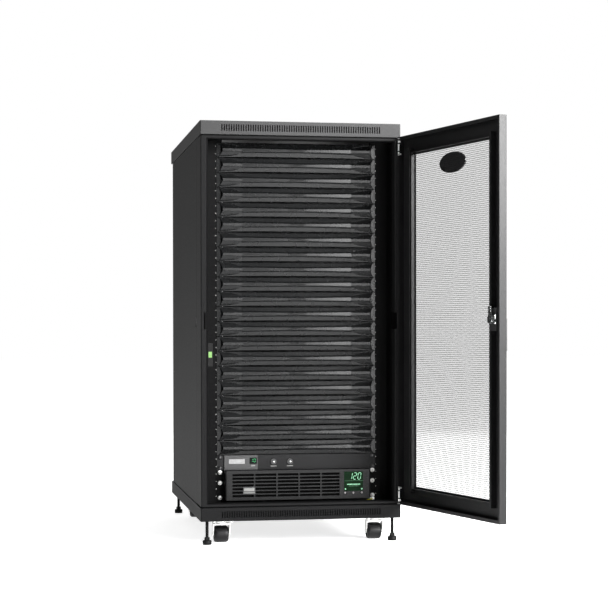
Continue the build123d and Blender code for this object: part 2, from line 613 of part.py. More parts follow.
BADGE_Z = 1105
with BuildPart() as door_badge:
    with BuildSketch(Plane.XZ.offset(-SKIN_Y)):
        with Locations((-2, BADGE_Z)):
            Ellipse(75, 29.5)
    extrude(amount=3.6)
    fillet(door_badge.faces().sort_by(Axis.Y)[0].edges(), 1.2)
write(door_badge, "door_badge", DOOR_OPEN)

for name, flip in (("top", 1), ("bottom", -1)):
    with BuildPart() as hinge_pin:
        low, high = about_middle(flip, 494, 543.5)
        rod((PIN_X, PIN_Y, low), (0, 0, 1), PIN_R, high - low)
        rod((PIN_X, PIN_Y, MID_Z + flip * 496.5), (-1, 0, 0.0), PIN_R, 13)
    write(hinge_pin, f"hinge_pin_{name}", DOOR_OPEN)

SPINDLE_R = 7
CAM_Y = (-457.4, -454.4)
HANDLE_PIVOT_Y = -498
with BuildPart() as latch_base:
    block((-279, -235), (DOOR_Y[0] - 6, DOOR_Y[0]), (560, 690))
    fillet(latch_base.edges().filter_by(Axis.Y), 8)
    rod((LATCH_X, DOOR_Y[0], STRIKE_Z), (0, 1, 0), 8.8, DOOR_SHEET)
    block((-279, -246), (SKIN_Y, -464), (628, 690))
    rod((LATCH_X, DOOR_Y[0] - 7, STRIKE_Z), (0, 1, 0), SPINDLE_R + RUNNING, 30, Mode.SUBTRACT)
write(latch_base, "latch_base", DOOR_OPEN)

with BuildPart() as latch_cam:
    rod((LATCH_X, DOOR_Y[0] - 6.2, STRIKE_Z), (0, 1, 0), SPINDLE_R, CAM_Y[0] - DOOR_Y[0] + 6.2)
    cam_plane = Plane.XZ.offset(-CAM_Y[0])
    with BuildSketch(cam_plane):
        with Locations((LATCH_X, STRIKE_Z)):
            Circle(11)
        with Locations((LATCH_X, STRIKE_Z + 18)):
            Rectangle(13, 36)
        with Locations((LATCH_X - 15, STRIKE_Z)):
            Rectangle(28, 24)
        with Locations((LATCH_X - 22, STRIKE_Z - 2)):
            Rectangle(18, 9, mode=Mode.SUBTRACT)
        with Locations((LATCH_X, STRIKE_Z + 24)):
            SlotOverall(15, 5, rotation=90, mode=Mode.SUBTRACT)
    extrude(amount=CAM_Y[0] - CAM_Y[1])
    block((LATCH_X - 4, LATCH_X + 4), (HANDLE_PIVOT_Y, DOOR_Y[0] - 6.2),
          (STRIKE_Z - 4, STRIKE_Z + 4))
    rod((LATCH_X - 4, HANDLE_PIVOT_Y, STRIKE_Z), (1, 0, 0), 4.5, 8)
    rod((LATCH_X - 10.5, HANDLE_PIVOT_Y, STRIKE_Z), (1, 0, 0), 2, 21)
write(latch_cam, "latch_cam", DOOR_OPEN)

with BuildPart() as door_handle:
    with BuildSketch(Plane.YZ.offset(LATCH_X - 11)):
        with Locations((HANDLE_PIVOT_Y, STRIKE_Z)):
            Circle(6)
        with Locations((HANDLE_PIVOT_Y - 0.5, STRIKE_Z - 43)):
            Rectangle(11, 86)
    extrude(amount=22)
    fillet(door_handle.edges().filter_by(Axis.Y).group_by(Axis.Z)[0], 6)
    block((LATCH_X - 4.4, LATCH_X + 4.4), (HANDLE_PIVOT_Y - 5, HANDLE_PIVOT_Y + 7),
          (STRIKE_Z - 14, STRIKE_Z + 7), Mode.SUBTRACT)
    rod((LATCH_X - 12, HANDLE_PIVOT_Y, STRIKE_Z), (1, 0, 0), 2 + RUNNING, 24, Mode.SUBTRACT)
write(door_handle, "door_handle", DOOR_OPEN)

# ---------------------------------------------------------------- rear doors, split in two
REAR_LEAF_X = (1, 297.1)
REAR_WINDOW_X = (45, 240)
REAR_HANDLE_X = 22
for name, sign in (("left", -1), ("right", 1)):
    with BuildPart() as rear_door:
        block(span(sign, *REAR_LEAF_X), REAR_LEAF_Y, DOOR_Z)
        block(span(sign, REAR_LEAF_X[0] + DOOR_SHEET, REAR_LEAF_X[1] - DOOR_SHEET),
              (REAR_LEAF_Y[0] - 1, REAR_LEAF_Y[1] - DOOR_SHEET),
              (DOOR_Z[0] + DOOR_SHEET, DOOR_Z[1] - DOOR_SHEET), Mode.SUBTRACT)
        for z_low, z_high in ((1189, 1202), (113.5, 125.5)):
            block(span(sign, REAR_LEAF_X[1] - 2.2, REAR_LEAF_X[1] + 1), (REAR_LEAF_Y[0] - 1, 422),
                  (z_low, z_high), Mode.SUBTRACT)
        block(span(sign, REAR_WINDOW_X[0] - 6, REAR_WINDOW_X[0] - 4.5), (416, REAR_LEAF_Y[1] - 1),
              (150, 1166))
        block(span(sign, REAR_WINDOW_X[1] + 4.5, REAR_WINDOW_X[1] + 6), (416, REAR_LEAF_Y[1] - 1),
              (150, 1166))
        for z_low, z_high in ((1184, 1187), (127, 130)):
            block(span(sign, 286, REAR_LEAF_X[1] - 1), (REAR_LEAF_Y[0], 421), (z_low, z_high))
        rod((sign * PIN_X, REAR_PIN_Y, 1184), (0, 0, 1), PIN_R, 17)
        rod((sign * PIN_X, REAR_PIN_Y, 113.5), (0, 0, 1), PIN_R, 16.5)
        if sign > 0:
            rod((REAR_HANDLE_X, 425, STRIKE_Z), (0, 1, 0), 5 + RUNNING, 10, Mode.SUBTRACT)
    write(rear_door, f"rear_door_{name}")

with BuildPart() as rear_handle:
    rod((REAR_HANDLE_X, 424, STRIKE_Z), (0, 1, 0), 5, 14)
    with BuildSketch(Plane.XZ.offset(-REAR_LEAF_Y[1] - 0.5)):
        with Locations((REAR_HANDLE_X, STRIKE_Z)):
            Circle(12)
        with Locations((REAR_HANDLE_X, STRIKE_Z - 45)):
            RectangleRounded(20, 90, 6)
    extrude(amount=-11)
    with BuildSketch(Plane.XZ.offset(-424)):
        with Locations((REAR_HANDLE_X - 3, STRIKE_Z)):
            RectangleRounded(26, 14, 3)
    extrude(amount=3)
write(rear_handle, "rear_handle")

# ---------------------------------------------------------------- casters and levelling feet
CASTERS = {
    "front_left": (-CASTER_X, FRONT_KINGPIN_Y, 1),
    "front_right": (CASTER_X, FRONT_KINGPIN_Y, 1),
    "rear_left": (-CASTER_X, REAR_KINGPIN_Y, -1),
    "rear_right": (CASTER_X, REAR_KINGPIN_Y, -1),
}
with BuildPart() as caster_plates:
    for x, y, _ in CASTERS.values():
        block((x - 34, x + 34), (y - 38, y + 38), (BASE_Z - 3, BASE_Z))
        rod((x, y, BASE_Z - 15), (0, 0, 1), 5, 12)
        rod((x, y, BASE_Z - 16.5), (0, 0, 1), 8, 1.5)
        rod((x, y, BASE_Z - 11.1), (0, 0, 1), 15, 8.1)
        with Locations((x, y, BASE_Z - 3)):
            with GridLocations(*CASTER_BOLTS, 2, 2):
                Cylinder(6, 3, align=(Align.CENTER, Align.CENTER, Align.MAX))
                Cylinder(4, 12, align=(Align.CENTER, Align.CENTER, Align.MIN))
write(caster_plates, "caster_plates")

for name, (x, y, trail_side) in CASTERS.items():
    axle_y = y + trail_side * CASTER_TRAIL
    with BuildPart() as caster_fork:
        rod((x, y, BASE_Z - 14.6), (0, 0, 1), 16, 3)
        y_low, y_high = sorted((y - trail_side * 14, y + trail_side * 26))
        block((x - 25.5, x + 25.5), (y_low, y_high), (BASE_Z - 14.6, BASE_Z - 12.1))
        for sign in (-1, 1):
            with BuildSketch(Plane.YZ.offset(x + sign * 24.25 - 1.25)) as cheek:
                with BuildLine():
                    Polyline((y_low, BASE_Z - 12.1), (y_high, BASE_Z - 12.1),
                             (axle_y + 9, WHEEL_R - 6), (axle_y - 9, WHEEL_R - 6), close=True)
                make_face()
            extrude(cheek.sketch, amount=2.5)
        rod((x - 27, axle_y, WHEEL_R), (1, 0, 0), 4, 54)
        rod((x, y, BASE_Z - 20), (0, 0, 1), 5 + RUNNING, 20, Mode.SUBTRACT)
    write(caster_fork, f"caster_fork_{name}")
    with BuildPart() as caster_wheel:
        rod((x - WHEEL_WIDTH / 2, axle_y, WHEEL_R), (1, 0, 0), WHEEL_R, WHEEL_WIDTH)
        fillet(caster_wheel.edges().filter_by(GeomType.CIRCLE), 6)
        rod((x - WHEEL_WIDTH, axle_y, WHEEL_R), (1, 0, 0), 4 + RUNNING, 2 * WHEEL_WIDTH,
            Mode.SUBTRACT)
    write(caster_wheel, f"caster_wheel_{name}")

for name, x, y in (("front_left", -FOOT_X, -FOOT_Y), ("front_right", FOOT_X, -FOOT_Y),
                   ("rear_left", -FOOT_X, FOOT_Y), ("rear_right", FOOT_X, FOOT_Y)):
    with BuildPart() as levelling_foot:
        rod((x, y, 0), (0, 0, 1), 13.5, 13)
        fillet(levelling_foot.edges().filter_by(GeomType.CIRCLE), 1.5)
        with BuildSketch(Plane.XY.offset(13)) as collar:
            with Locations((x, y)):
                RegularPolygon(8, 6)
        extrude(collar.sketch, amount=9)
        rod((x, y, 20), (0, 0, 1), 5, 76)
    write(levelling_foot, f"levelling_foot_{name}")
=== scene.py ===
import json
import math
import random

import bmesh
import bpy
from mathutils import Matrix, Vector


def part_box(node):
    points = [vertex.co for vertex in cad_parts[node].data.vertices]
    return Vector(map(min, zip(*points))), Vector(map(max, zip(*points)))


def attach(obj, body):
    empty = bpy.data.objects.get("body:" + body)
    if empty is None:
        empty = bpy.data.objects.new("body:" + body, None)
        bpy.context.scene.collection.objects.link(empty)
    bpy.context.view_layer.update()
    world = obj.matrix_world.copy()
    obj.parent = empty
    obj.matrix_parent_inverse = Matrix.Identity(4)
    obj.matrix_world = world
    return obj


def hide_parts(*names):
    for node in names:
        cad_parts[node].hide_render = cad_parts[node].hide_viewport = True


# The looks of a network cabinet with a rackmount UPS. Metres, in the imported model's frame:
# X to the right seen from the front, Y to the rear, Z up, origin on the floor.
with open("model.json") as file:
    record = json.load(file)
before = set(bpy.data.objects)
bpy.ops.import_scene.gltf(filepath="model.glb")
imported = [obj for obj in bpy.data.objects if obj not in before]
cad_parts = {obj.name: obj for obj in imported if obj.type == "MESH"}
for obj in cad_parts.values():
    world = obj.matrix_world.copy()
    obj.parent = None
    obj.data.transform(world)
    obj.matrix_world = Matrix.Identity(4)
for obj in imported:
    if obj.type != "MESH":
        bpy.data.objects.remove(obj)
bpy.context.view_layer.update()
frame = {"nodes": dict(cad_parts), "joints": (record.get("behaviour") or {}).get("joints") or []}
NODES = frame["nodes"]
MM = 0.001
RANDOM = random.Random(24)

# Rack standard and the stack in the cabinet
UNIT = 44.45 * MM
HOLE_SPACING = 465.1 * MM
RACK_UNITS = 24
RACK_FOOT_Z = 124
PANEL_COUNT = 21


# ---------------------------------------------------------------- camera, floor and light
def add_camera():
    data = bpy.data.cameras.new("camera")
    data.lens = 99.45
    data.sensor_width = 36
    data.shift_x = -0.0216
    data.shift_y = 0.0668
    data.clip_end = 60
    camera = bpy.data.objects.new("camera", data)
    camera.location = (-0.8352, -5.3532, 0.6338)
    yaw, pitch, roll = -0.1783, -0.0092, 0.0014
    camera.rotation_euler = (math.pi / 2 + pitch, roll, yaw)
    bpy.context.scene.collection.objects.link(camera)
    bpy.context.scene.camera = camera


def add_light(name, place, target, size, power):
    """A rectangular softbox that faces a target."""
    data = bpy.data.lights.new(name, "AREA")
    data.shape = "RECTANGLE"
    data.size, data.size_y = size
    data.energy = power
    light = bpy.data.objects.new(name, data)
    light.location = place
    light.rotation_euler = (Vector(target) - Vector(place)).to_track_quat("-Z", "Y").to_euler()
    bpy.context.scene.collection.objects.link(light)


HORIZON_LIGHT = 0.2
ZENITH_LIGHT = 0.42


def add_world():
    """A white surround that lights from overhead and dims towards the horizon."""
    world = bpy.data.worlds.new("studio")
    bpy.context.scene.world = world
    world.use_nodes = True
    tree = world.node_tree
    tree.nodes["Background"].inputs["Color"].default_value = (1, 1, 1, 1)
    place = tree.nodes.new("ShaderNodeTexCoord")
    split = tree.nodes.new("ShaderNodeSeparateXYZ")
    dome = tree.nodes.new("ShaderNodeMapRange")
    dome.inputs["To Min"].default_value = HORIZON_LIGHT
    dome.inputs["To Max"].default_value = ZENITH_LIGHT
    path = tree.nodes.new("ShaderNodeLightPath")
    shown = tree.nodes.new("ShaderNodeMix")
    shown.inputs["B"].default_value = 1.0
    tree.links.new(place.outputs["Generated"], split.inputs["Vector"])
    tree.links.new(split.outputs["Z"], dome.inputs["Value"])
    tree.links.new(dome.outputs["Result"], shown.inputs["A"])
    tree.links.new(path.outputs["Is Camera Ray"], shown.inputs["Factor"])
    tree.links.new(shown.outputs["Result"], tree.nodes["Background"].inputs["Strength"])


def add_studio():
    """Two large softboxes to the right, a weak one to the left and one behind the cabinet."""
    bpy.context.scene.view_settings.view_transform = "Standard"
    add_world()
    add_light("tall_softbox", (1.9, -4.7, 1.5), (0.1, -0.4, 0.9), (1.5, 2.9), 310)
    add_light("side_softbox", (2.9, -3.5, 2.0), (0.2, -0.6, 1.0), (1.4, 1.7), 720)
    add_light("rear_softbox", (1.2, 4.6, 2.0), (0, 0.4, 0.9), (2.4, 2.0), 40)
    add_light("left_softbox", (-3.6, -3.4, 2.4), (0, -0.2, 1.2), (0.8, 1.8), 24)


# ---------------------------------------------------------------- materials
class Shader:
    """A node material under construction, with short ways to add its nodes."""

    def __init__(self, name, colour, roughness, metallic=0.0, specular=0.5):
        self.material = bpy.data.materials.new(name)
        self.material.use_nodes = True
        self.tree = self.material.node_tree
        self.surface = self.tree.nodes["Principled BSDF"]
        self.surface.inputs["Base Color"].default_value = (*colour, 1)
        self.surface.inputs["Roughness"].default_value = roughness
        self.surface.inputs["Metallic"].default_value = metallic
        self.surface.inputs["Specular IOR Level"].default_value = specular
        self.colour = colour
        self.place = self.tree.nodes.new("ShaderNodeTexCoord").outputs["Object"]
        self.material.diffuse_color = (*colour, 1)

    def link(self, output, node, socket):
        self.tree.links.new(output, node.inputs[socket])

    def stretched(self, scale):
        """The object's coordinates, scaled differently along each axis."""
        node = self.tree.nodes.new("ShaderNodeMapping")
        node.inputs["Scale"].default_value = scale
        self.link(self.place, node, "Vector")
        return node.outputs["Vector"]

    def noise(self, scale, detail=2.0, vector=None):
        node = self.tree.nodes.new("ShaderNodeTexNoise")
        node.inputs["Scale"].default_value = scale
        node.inputs["Detail"].default_value = detail
        self.link(vector or self.place, node, "Vector")
        return node.outputs["Fac"]

    def cells(self, scale):
        node = self.tree.nodes.new("ShaderNodeTexVoronoi")
        node.inputs["Scale"].default_value = scale
        self.link(self.place, node, "Vector")
        return node.outputs["Distance"]

    def ranged(self, value, low, high, from_low=0.3, from_high=0.7):
        node = self.tree.nodes.new("ShaderNodeMapRange")
        node.inputs["From Min"].default_value = from_low
        node.inputs["From Max"].default_value = from_high
        node.inputs["To Min"].default_value = low
        node.inputs["To Max"].default_value = high
        self.link(value, node, "Value")
        return node.outputs["Result"]

    def vary_colour(self, value, first, second):
        """Base colour between two colours, by a value from 0.3 to 0.7."""
        node = self.tree.nodes.new("ShaderNodeValToRGB")
        node.color_ramp.elements[0].position = 0.3
        node.color_ramp.elements[0].color = (*first, 1)
        node.color_ramp.elements[1].position = 0.7
        node.color_ramp.elements[1].color = (*second, 1)
        self.link(value, node, "Fac")
        self.link(node.outputs["Color"], self.surface, "Base Color")
        return node

    def vary_roughness(self, value, low, high):
        self.link(self.ranged(value, low, high), self.surface, "Roughness")

    def bump(self, value, depth, strength=1.0, edge=0.0):
        """Relief of a depth in metres, over edges rounded to a radius."""
        node = self.tree.nodes.new("ShaderNodeBump")
        node.inputs["Distance"].default_value = depth
        node.inputs["Strength"].default_value = strength
        self.link(value, node, "Height")
        if edge:
            rounded = self.tree.nodes.new("ShaderNodeBevel")
            rounded.samples = 4
            rounded.inputs["Radius"].default_value = edge
            self.link(rounded.outputs["Normal"], node, "Normal")
        self.link(node.outputs["Normal"], self.surface, "Normal")

    def glow(self, colour, strength):
        self.surface.inputs["Emission Color"].default_value = (*colour, 1)
        self.surface.inputs["Emission Strength"].default_value = strength


def tint(colour, factor):
    return tuple(min(1.0, c * factor) for c in colour)


def powder_coat(name, colour, roughness, edge=0.0, specular=0.15):
    """Fine-texture powder coat: small rounded grain, faint mottling and handling marks."""
    shader = Shader(name, colour, roughness, specular=specular)
    mottle = shader.noise(5, 3)
    shader.vary_colour(mottle, tint(colour, 0.94), tint(colour, 1.07))
    shader.vary_roughness(shader.noise(160, 3), roughness - 0.03, roughness + 0.03)
    shader.bump(shader.noise(1400, 2), 0.00005, 0.4, edge)
    return shader.material


def moulded(name, colour, roughness, grain=900, depth=0.00006, specular=0.5, patchy=0.045,
            edge=0.0):
    """Moulded plastic with a fine spark-eroded grain."""
    shader = Shader(name, colour, roughness, specular=specular)
    shader.vary_colour(shader.noise(9, 2), tint(colour, 0.9), tint(colour, 1.12))
    shader.vary_roughness(shader.noise(40, 3), roughness - patchy, roughness + patchy)
    shader.bump(shader.cells(grain), depth, 0.5, edge)
    return shader.material


def plated(name, colour, roughness, stretch=(1, 1, 1), edge=0.0, metallic=1.0):
    """Zinc or nickel plate with drawing lines and dull patches."""
    shader = Shader(name, colour, roughness, metallic=metallic)
    shader.vary_colour(shader.noise(60, 4), tint(colour, 0.82), colour)
    shader.vary_roughness(shader.noise(90, 4), roughness - 0.07, roughness + 0.12)
    shader.bump(shader.noise(700, 2, shader.stretched(stretch)), 0.00004, 0.6, edge)
    return shader.material


def glowing(name, colour, strength):
    """A lit segment: a little uneven, as light through a diffuser is."""
    shader = Shader(name, tint(colour, 0.5), 0.4)
    shader.vary_colour(shader.noise(400, 2), tint(colour, 0.4), tint(colour, 0.6))
    shader.glow(colour, strength)
    return shader.material


def lcd_glass(name, colour, strength):
    """A display window: dark glass, faintly lit from behind at the given strength."""
    shader = Shader(name, colour, 0.3, specular=0.03)
    shader.vary_colour(shader.noise(30, 2), tint(colour, 0.8), tint(colour, 1.2))
    shader.glow(colour, strength)
    return shader.material


def striped_wire(name):
    """Green and yellow insulation, in bands across the wire."""
    shader = Shader(name, (0.62, 0.55, 0.03), 0.42)
    wave = shader.tree.nodes.new("ShaderNodeTexWave")
    wave.inputs["Scale"].default_value = 60
    shader.link(shader.place, wave, "Vector")
    shader.vary_colour(wave.outputs["Fac"], (0.09, 0.26, 0.03), (0.78, 0.66, 0.03))
    shader.bump(shader.noise(500), 0.00003, 0.4)
    return shader.material


def circuit_board(name):
    """Green solder resist with paler cells and slight relief."""
    shader = Shader(name, (0.02, 0.12, 0.05), 0.35)
    shader.vary_colour(shader.cells(120), (0.015, 0.10, 0.04), (0.03, 0.17, 0.08))
    shader.bump(shader.cells(220), 0.0001, 0.5)
    return shader.material


FLOOR_GLOW = 0.74


def painted_floor(name):
    """A pale floor that glows a little, so that it meets the white surround unseen."""
    shader = Shader(name, (0.8, 0.8, 0.8), 0.6, specular=0.1)
    shader.glow((1, 1, 1), FLOOR_GLOW)
    shader.vary_colour(shader.noise(1.5, 2), (0.79, 0.79, 0.79), (0.81, 0.81, 0.81))
    return shader.material


COAT = powder_coat("black_powder_coat", (0.004, 0.004, 0.0042), 0.4, edge=0.0007, specular=0.07)
DOOR_COAT = powder_coat("black_door_coat", (0.006, 0.006, 0.0062), 0.4, edge=0.0007, specular=0.15)
ROOF_TOP = powder_coat("black_roof_top", (0.008, 0.008, 0.0082), 0.9, specular=0.02)
ROOF_COAT = powder_coat("black_roof_coat", (0.008, 0.008, 0.0082), 0.55, edge=0.0007, specular=0.3)
# The side coat is the black coat painted lighter, as the light falls on the sides: painted light.
SIDE_LIT_COAT = powder_coat("black_coat_painted_side_light", (0.008, 0.008, 0.0082), 0.62, edge=0.0007, specular=0.12)
# A darker copy of the coat: painted shade on the frames' insides, the braces, the rails and the bodies
# of the devices.
SHADED_COAT = powder_coat("black_coat_painted_shade", (0.0016, 0.0016, 0.0017), 0.65, specular=0.05)
MESH_COAT = powder_coat("black_sheet_coat", (0.012, 0.012, 0.0122), 0.5)
PANEL_PLASTIC = moulded("panel_plastic", (0.004, 0.0042, 0.0044), 0.27, 1100, 0.000006, specular=0.28,
                        patchy=0.01, edge=0.0009)
BEZEL_PLASTIC = moulded("bezel_plastic", (0.006, 0.006, 0.0062), 0.5, specular=0.15)
STEEL_FACE = powder_coat("device_face_coat", (0.008, 0.008, 0.0083), 0.5, edge=0.0004, specular=0.09)
HARD_PLASTIC = moulded("hard_plastic", (0.008, 0.008, 0.0085), 0.36)
ZINC = plated("zinc_plate", (0.85, 0.85, 0.84), 0.42, edge=0.0004)
NICKEL = plated("nickel_plate", (0.9, 0.9, 0.88), 0.42, metallic=0.55)
BADGE_METAL = plated("badge_metal", (0.2, 0.2, 0.2), 0.5, (20, 1, 1), metallic=0.8)
CHROME = plated("chrome_plate", (0.6, 0.62, 0.62), 0.2, edge=0.0004)
FOOT_BLACK = moulded("black_oxide", (0.003, 0.003, 0.003), 0.6, specular=0.12)
ALUMINIUM = plated("aluminium_fins", (0.7, 0.7, 0.71), 0.35, (1, 20, 1))
TREAD = moulded("wheel_nylon", (0.003, 0.003, 0.0033), 0.45, 500, 0.0001, specular=0.2)
BRISTLE = moulded("nylon_bristle", (0.02, 0.02, 0.02), 0.6, 3000)
# Pale: the painted highlight on the reset buttons.
HIGHLIGHT_WHITE = moulded("painted_highlight_white", (0.86, 0.86, 0.84), 0.3)
GREY_KNOB = moulded("grey_knob", (0.14, 0.13, 0.13), 0.4)
RAIL_MARK = moulded("rail_print", (0.3, 0.3, 0.29), 0.5)
PALE_MARK = moulded("pale_print", (0.16, 0.16, 0.155), 0.6, specular=0.2)
BATTERY_CASE = moulded("battery_case", (0.06, 0.06, 0.065), 0.5, 300, 0.0002)
# Near-black: painted shade in the grooves between panels, in the fascia slots and behind the UPS
# grille; also the rear door seals.
LINER_AND_SHADE_BLACK = moulded("black_liner_and_painted_shade", (0.0015, 0.0015, 0.0015), 0.95, specular=0.02)
BOARD = circuit_board("circuit_board")
LCD_FIELD = lcd_glass("lcd_field", (0.001, 0.008, 0.0022), 0.15)
LCD_DIGIT = glowing("lcd_digit", (0.30, 0.75, 0.44), 0.45)
LCD_LINE = glowing("lcd_line", (0.05, 0.22, 0.09), 0.3)
LED_DIGIT = glowing("led_digit", (0.01, 0.36, 0.10), 0.7)
# Dark glass for the display window, also the painted shade in the key slot and the outlets' pin slots.
DARK_GLASS_AND_HOLE_SHADE = lcd_glass("dark_glass_and_painted_hole_shade", (0.004, 0.006, 0.005), 0.0)
SENSOR_LABEL = moulded("sensor_label", (0.07, 0.17, 0.03), 0.5)
WIRE = striped_wire("bond_insulation")
CAPACITOR_SLEEVE = moulded("capacitor_sleeve", (0.02, 0.05, 0.14), 0.35)


# ---------------------------------------------------------------- mesh helpers
def finish_piece(name, bm, material, body, bevel=0.0, smooth=30):
    """Turns a bmesh into a piece that rides on a body."""
    bmesh.ops.recalc_face_normals(bm, faces=bm.faces)
    mesh = bpy.data.meshes.new(name)
    bm.to_mesh(mesh)
    bm.free()
    mesh.materials.append(material)
    piece = bpy.data.objects.new(name, mesh)
    bpy.context.scene.collection.objects.link(piece)
    if bevel:
        modifier = piece.modifiers.new("edges", "BEVEL")
        modifier.width = bevel
        modifier.segments = 2
        modifier.limit_method = "ANGLE"
        modifier.angle_limit = math.radians(40)
    mesh.polygons.foreach_set("use_smooth", [True] * len(mesh.polygons))
    mesh.set_sharp_from_angle(angle=math.radians(smooth))
    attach(piece, body)
    return piece


def add_box(bm, low, high, turn=None):
    """A box between two corners, in millimetres."""
    corners = [Vector((x, y, z)) * MM for z in (low[2], high[2])
               for y in (low[1], high[1]) for x in (low[0], high[0])]
    if turn:
        corners = [turn @ corner for corner in corners]
    v = [bm.verts.new(corner) for corner in corners]
    for face in ((0, 2, 3, 1), (4, 5, 7, 6), (0, 1, 5, 4), (2, 6, 7, 3), (0, 4, 6, 2), (1, 3, 7, 5)):
        bm.faces.new([v[i] for i in face])


def add_lathe(bm, centre, axis, profile, segments=24):
    """A turned shape: pairs of distance along the axis and radius, in millimetres."""
    turn = Vector(axis).to_track_quat("Z", "Y").to_matrix()
    rings = []
    for along, radius in profile:
        ring = []
        for step in range(segments):
            angle = 2 * math.pi * step / segments
            local = Vector((radius * math.cos(angle), radius * math.sin(angle), along))
            ring.append(bm.verts.new((Vector(centre) + turn @ local) * MM))
        rings.append(ring)
    for lower, upper in zip(rings, rings[1:]):
        for i in range(segments):
            j = (i + 1) % segments
            bm.faces.new((lower[i], lower[j], upper[j], upper[i]))
    bm.faces.new(list(reversed(rings[0])))
    bm.faces.new(rings[-1])


def add_prism(bm, outline, place, thickness):
    """A flat outline in millimetres, placed by a function of (u, v, w) and given a thickness."""
    front = [bm.verts.new(place(u, v, 0)) for u, v in outline]
    back = [bm.verts.new(place(u, v, thickness)) for u, v in outline]
    bm.faces.new(front)
    bm.faces.new(list(reversed(back)))
    for i in range(len(outline)):
        j = (i + 1) % len(outline)
        bm.faces.new((front[j], front[i], back[i], back[j]))


def on_front(y):
    """Places (u, v, w) on a plane that faces the front, w towards the viewer."""
    return lambda u, v, w: Vector((u, y - w, v)) * MM


# ---------------------------------------------------------------- the front door's frame of reference
HINGE = next(j for j in frame["joints"] if j["name"] == "front_door_hinge")
DOOR_PIN = Vector(HINGE["pos_m"])
DOOR_TURN = (Matrix.Translation((DOOR_PIN.x, DOOR_PIN.y, 0))
             @ Matrix.Rotation(math.radians(-HINGE["range_deg"][0]), 4, "Z")
             @ Matrix.Translation((-DOOR_PIN.x, -DOOR_PIN.y, 0)))


def on_door(y):
    """As on_front, for the door: drawn closed, then swung to where it rests."""
    return lambda u, v, w: DOOR_TURN @ (Vector((u, y - w, v)) * MM)


# ---------------------------------------------------------------- perforated sheet
PITCH = 6.4
OPEN_SHARE = 0.83
SHEET_THICK = 0.5


def perforated_sheet(name, window_u, window_v, strips, place, material, body, nodes=()):
    """Hexagonal holes in a staggered pattern, with a solid margin, in level strips."""
    row_pitch = PITCH * math.sqrt(3) / 2
    rows = int((window_v[1] - window_v[0]) / row_pitch)
    columns = int((window_u[1] - window_u[0]) / PITCH)
    start_u = (sum(window_u) - (columns - 1) * PITCH) / 2
    start_v = (sum(window_v) - (rows - 1) * row_pitch) / 2
    corners = [(math.cos(math.radians(30 + 60 * k)), math.sin(math.radians(30 + 60 * k)))
               for k in range(6)]
    outer = PITCH / math.sqrt(3)
    for strip in range(strips):
        bm = bmesh.new()
        shared = {}

        def vertex(u, v, w):
            key = (round(u * 20), round(v * 20), round(w * 20))
            if key not in shared:
                shared[key] = bm.verts.new(place(u, v, w))
            return shared[key]

        for row in range(rows * strip // strips, rows * (strip + 1) // strips):
            v = start_v + row * row_pitch
            shift = PITCH / 2 if row % 2 else 0
            for column in range(columns - (1 if row % 2 else 0)):
                u = start_u + column * PITCH + shift
                rim = [[vertex(u + outer * share * a, v + outer * share * b, w)
                        for a, b in corners] for w in (0, -SHEET_THICK) for share in (1, OPEN_SHARE)]
                for i in range(6):
                    j = (i + 1) % 6
                    bm.faces.new((rim[0][i], rim[0][j], rim[1][j], rim[1][i]))
                    bm.faces.new((rim[2][j], rim[2][i], rim[3][i], rim[3][j]))
                    bm.faces.new((rim[1][i], rim[1][j], rim[3][j], rim[3][i]))
        number = f"_{strip + 1}" if strips > 1 else ""
        piece = finish_piece(f"{name}{number}", bm, material, body)
        if nodes:
            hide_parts(*nodes)
    bm = bmesh.new()
    margin = PITCH * 0.6
    for u, v in (((window_u[0] - 1.5, window_u[0] + margin), window_v),
                 ((window_u[1] - margin, window_u[1] + 1.5), window_v),
                 (window_u, (window_v[0] - 1.5, window_v[0] + margin)),
                 (window_u, (window_v[1] - margin, window_v[1] + 1.5))):
        add_prism(bm, [(u[0], v[0]), (u[1], v[0]), (u[1], v[1]), (u[0], v[1])],
                  lambda a, b, w: place(a, b, w - SHEET_THICK), SHEET_THICK)
    finish_piece(f"{name}_margin", bm, material, body)


DOOR_WINDOW_U = (-226.9, 218.0)
DOOR_WINDOW_V = (166.0, 1150.5)
DOOR_SKIN_Y = -484.3


def add_door_mesh():
    perforated_sheet("door_perforation", DOOR_WINDOW_U, DOOR_WINDOW_V, 3, on_door(DOOR_SKIN_Y + 0.4),
                     MESH_COAT, "front_door", ["door_mesh"])


# ---------------------------------------------------------------- rear doors
REAR_Y = (410.5, 433.0)
REAR_WINDOW = (45.0, 240.0)
REAR_WINDOW_V = (150.0, 1166.0)
LEAF_X = (1.0, 297.1)
LEAF_Z = (112.0, 1204.5)
LEAF_SHEET = 1.2


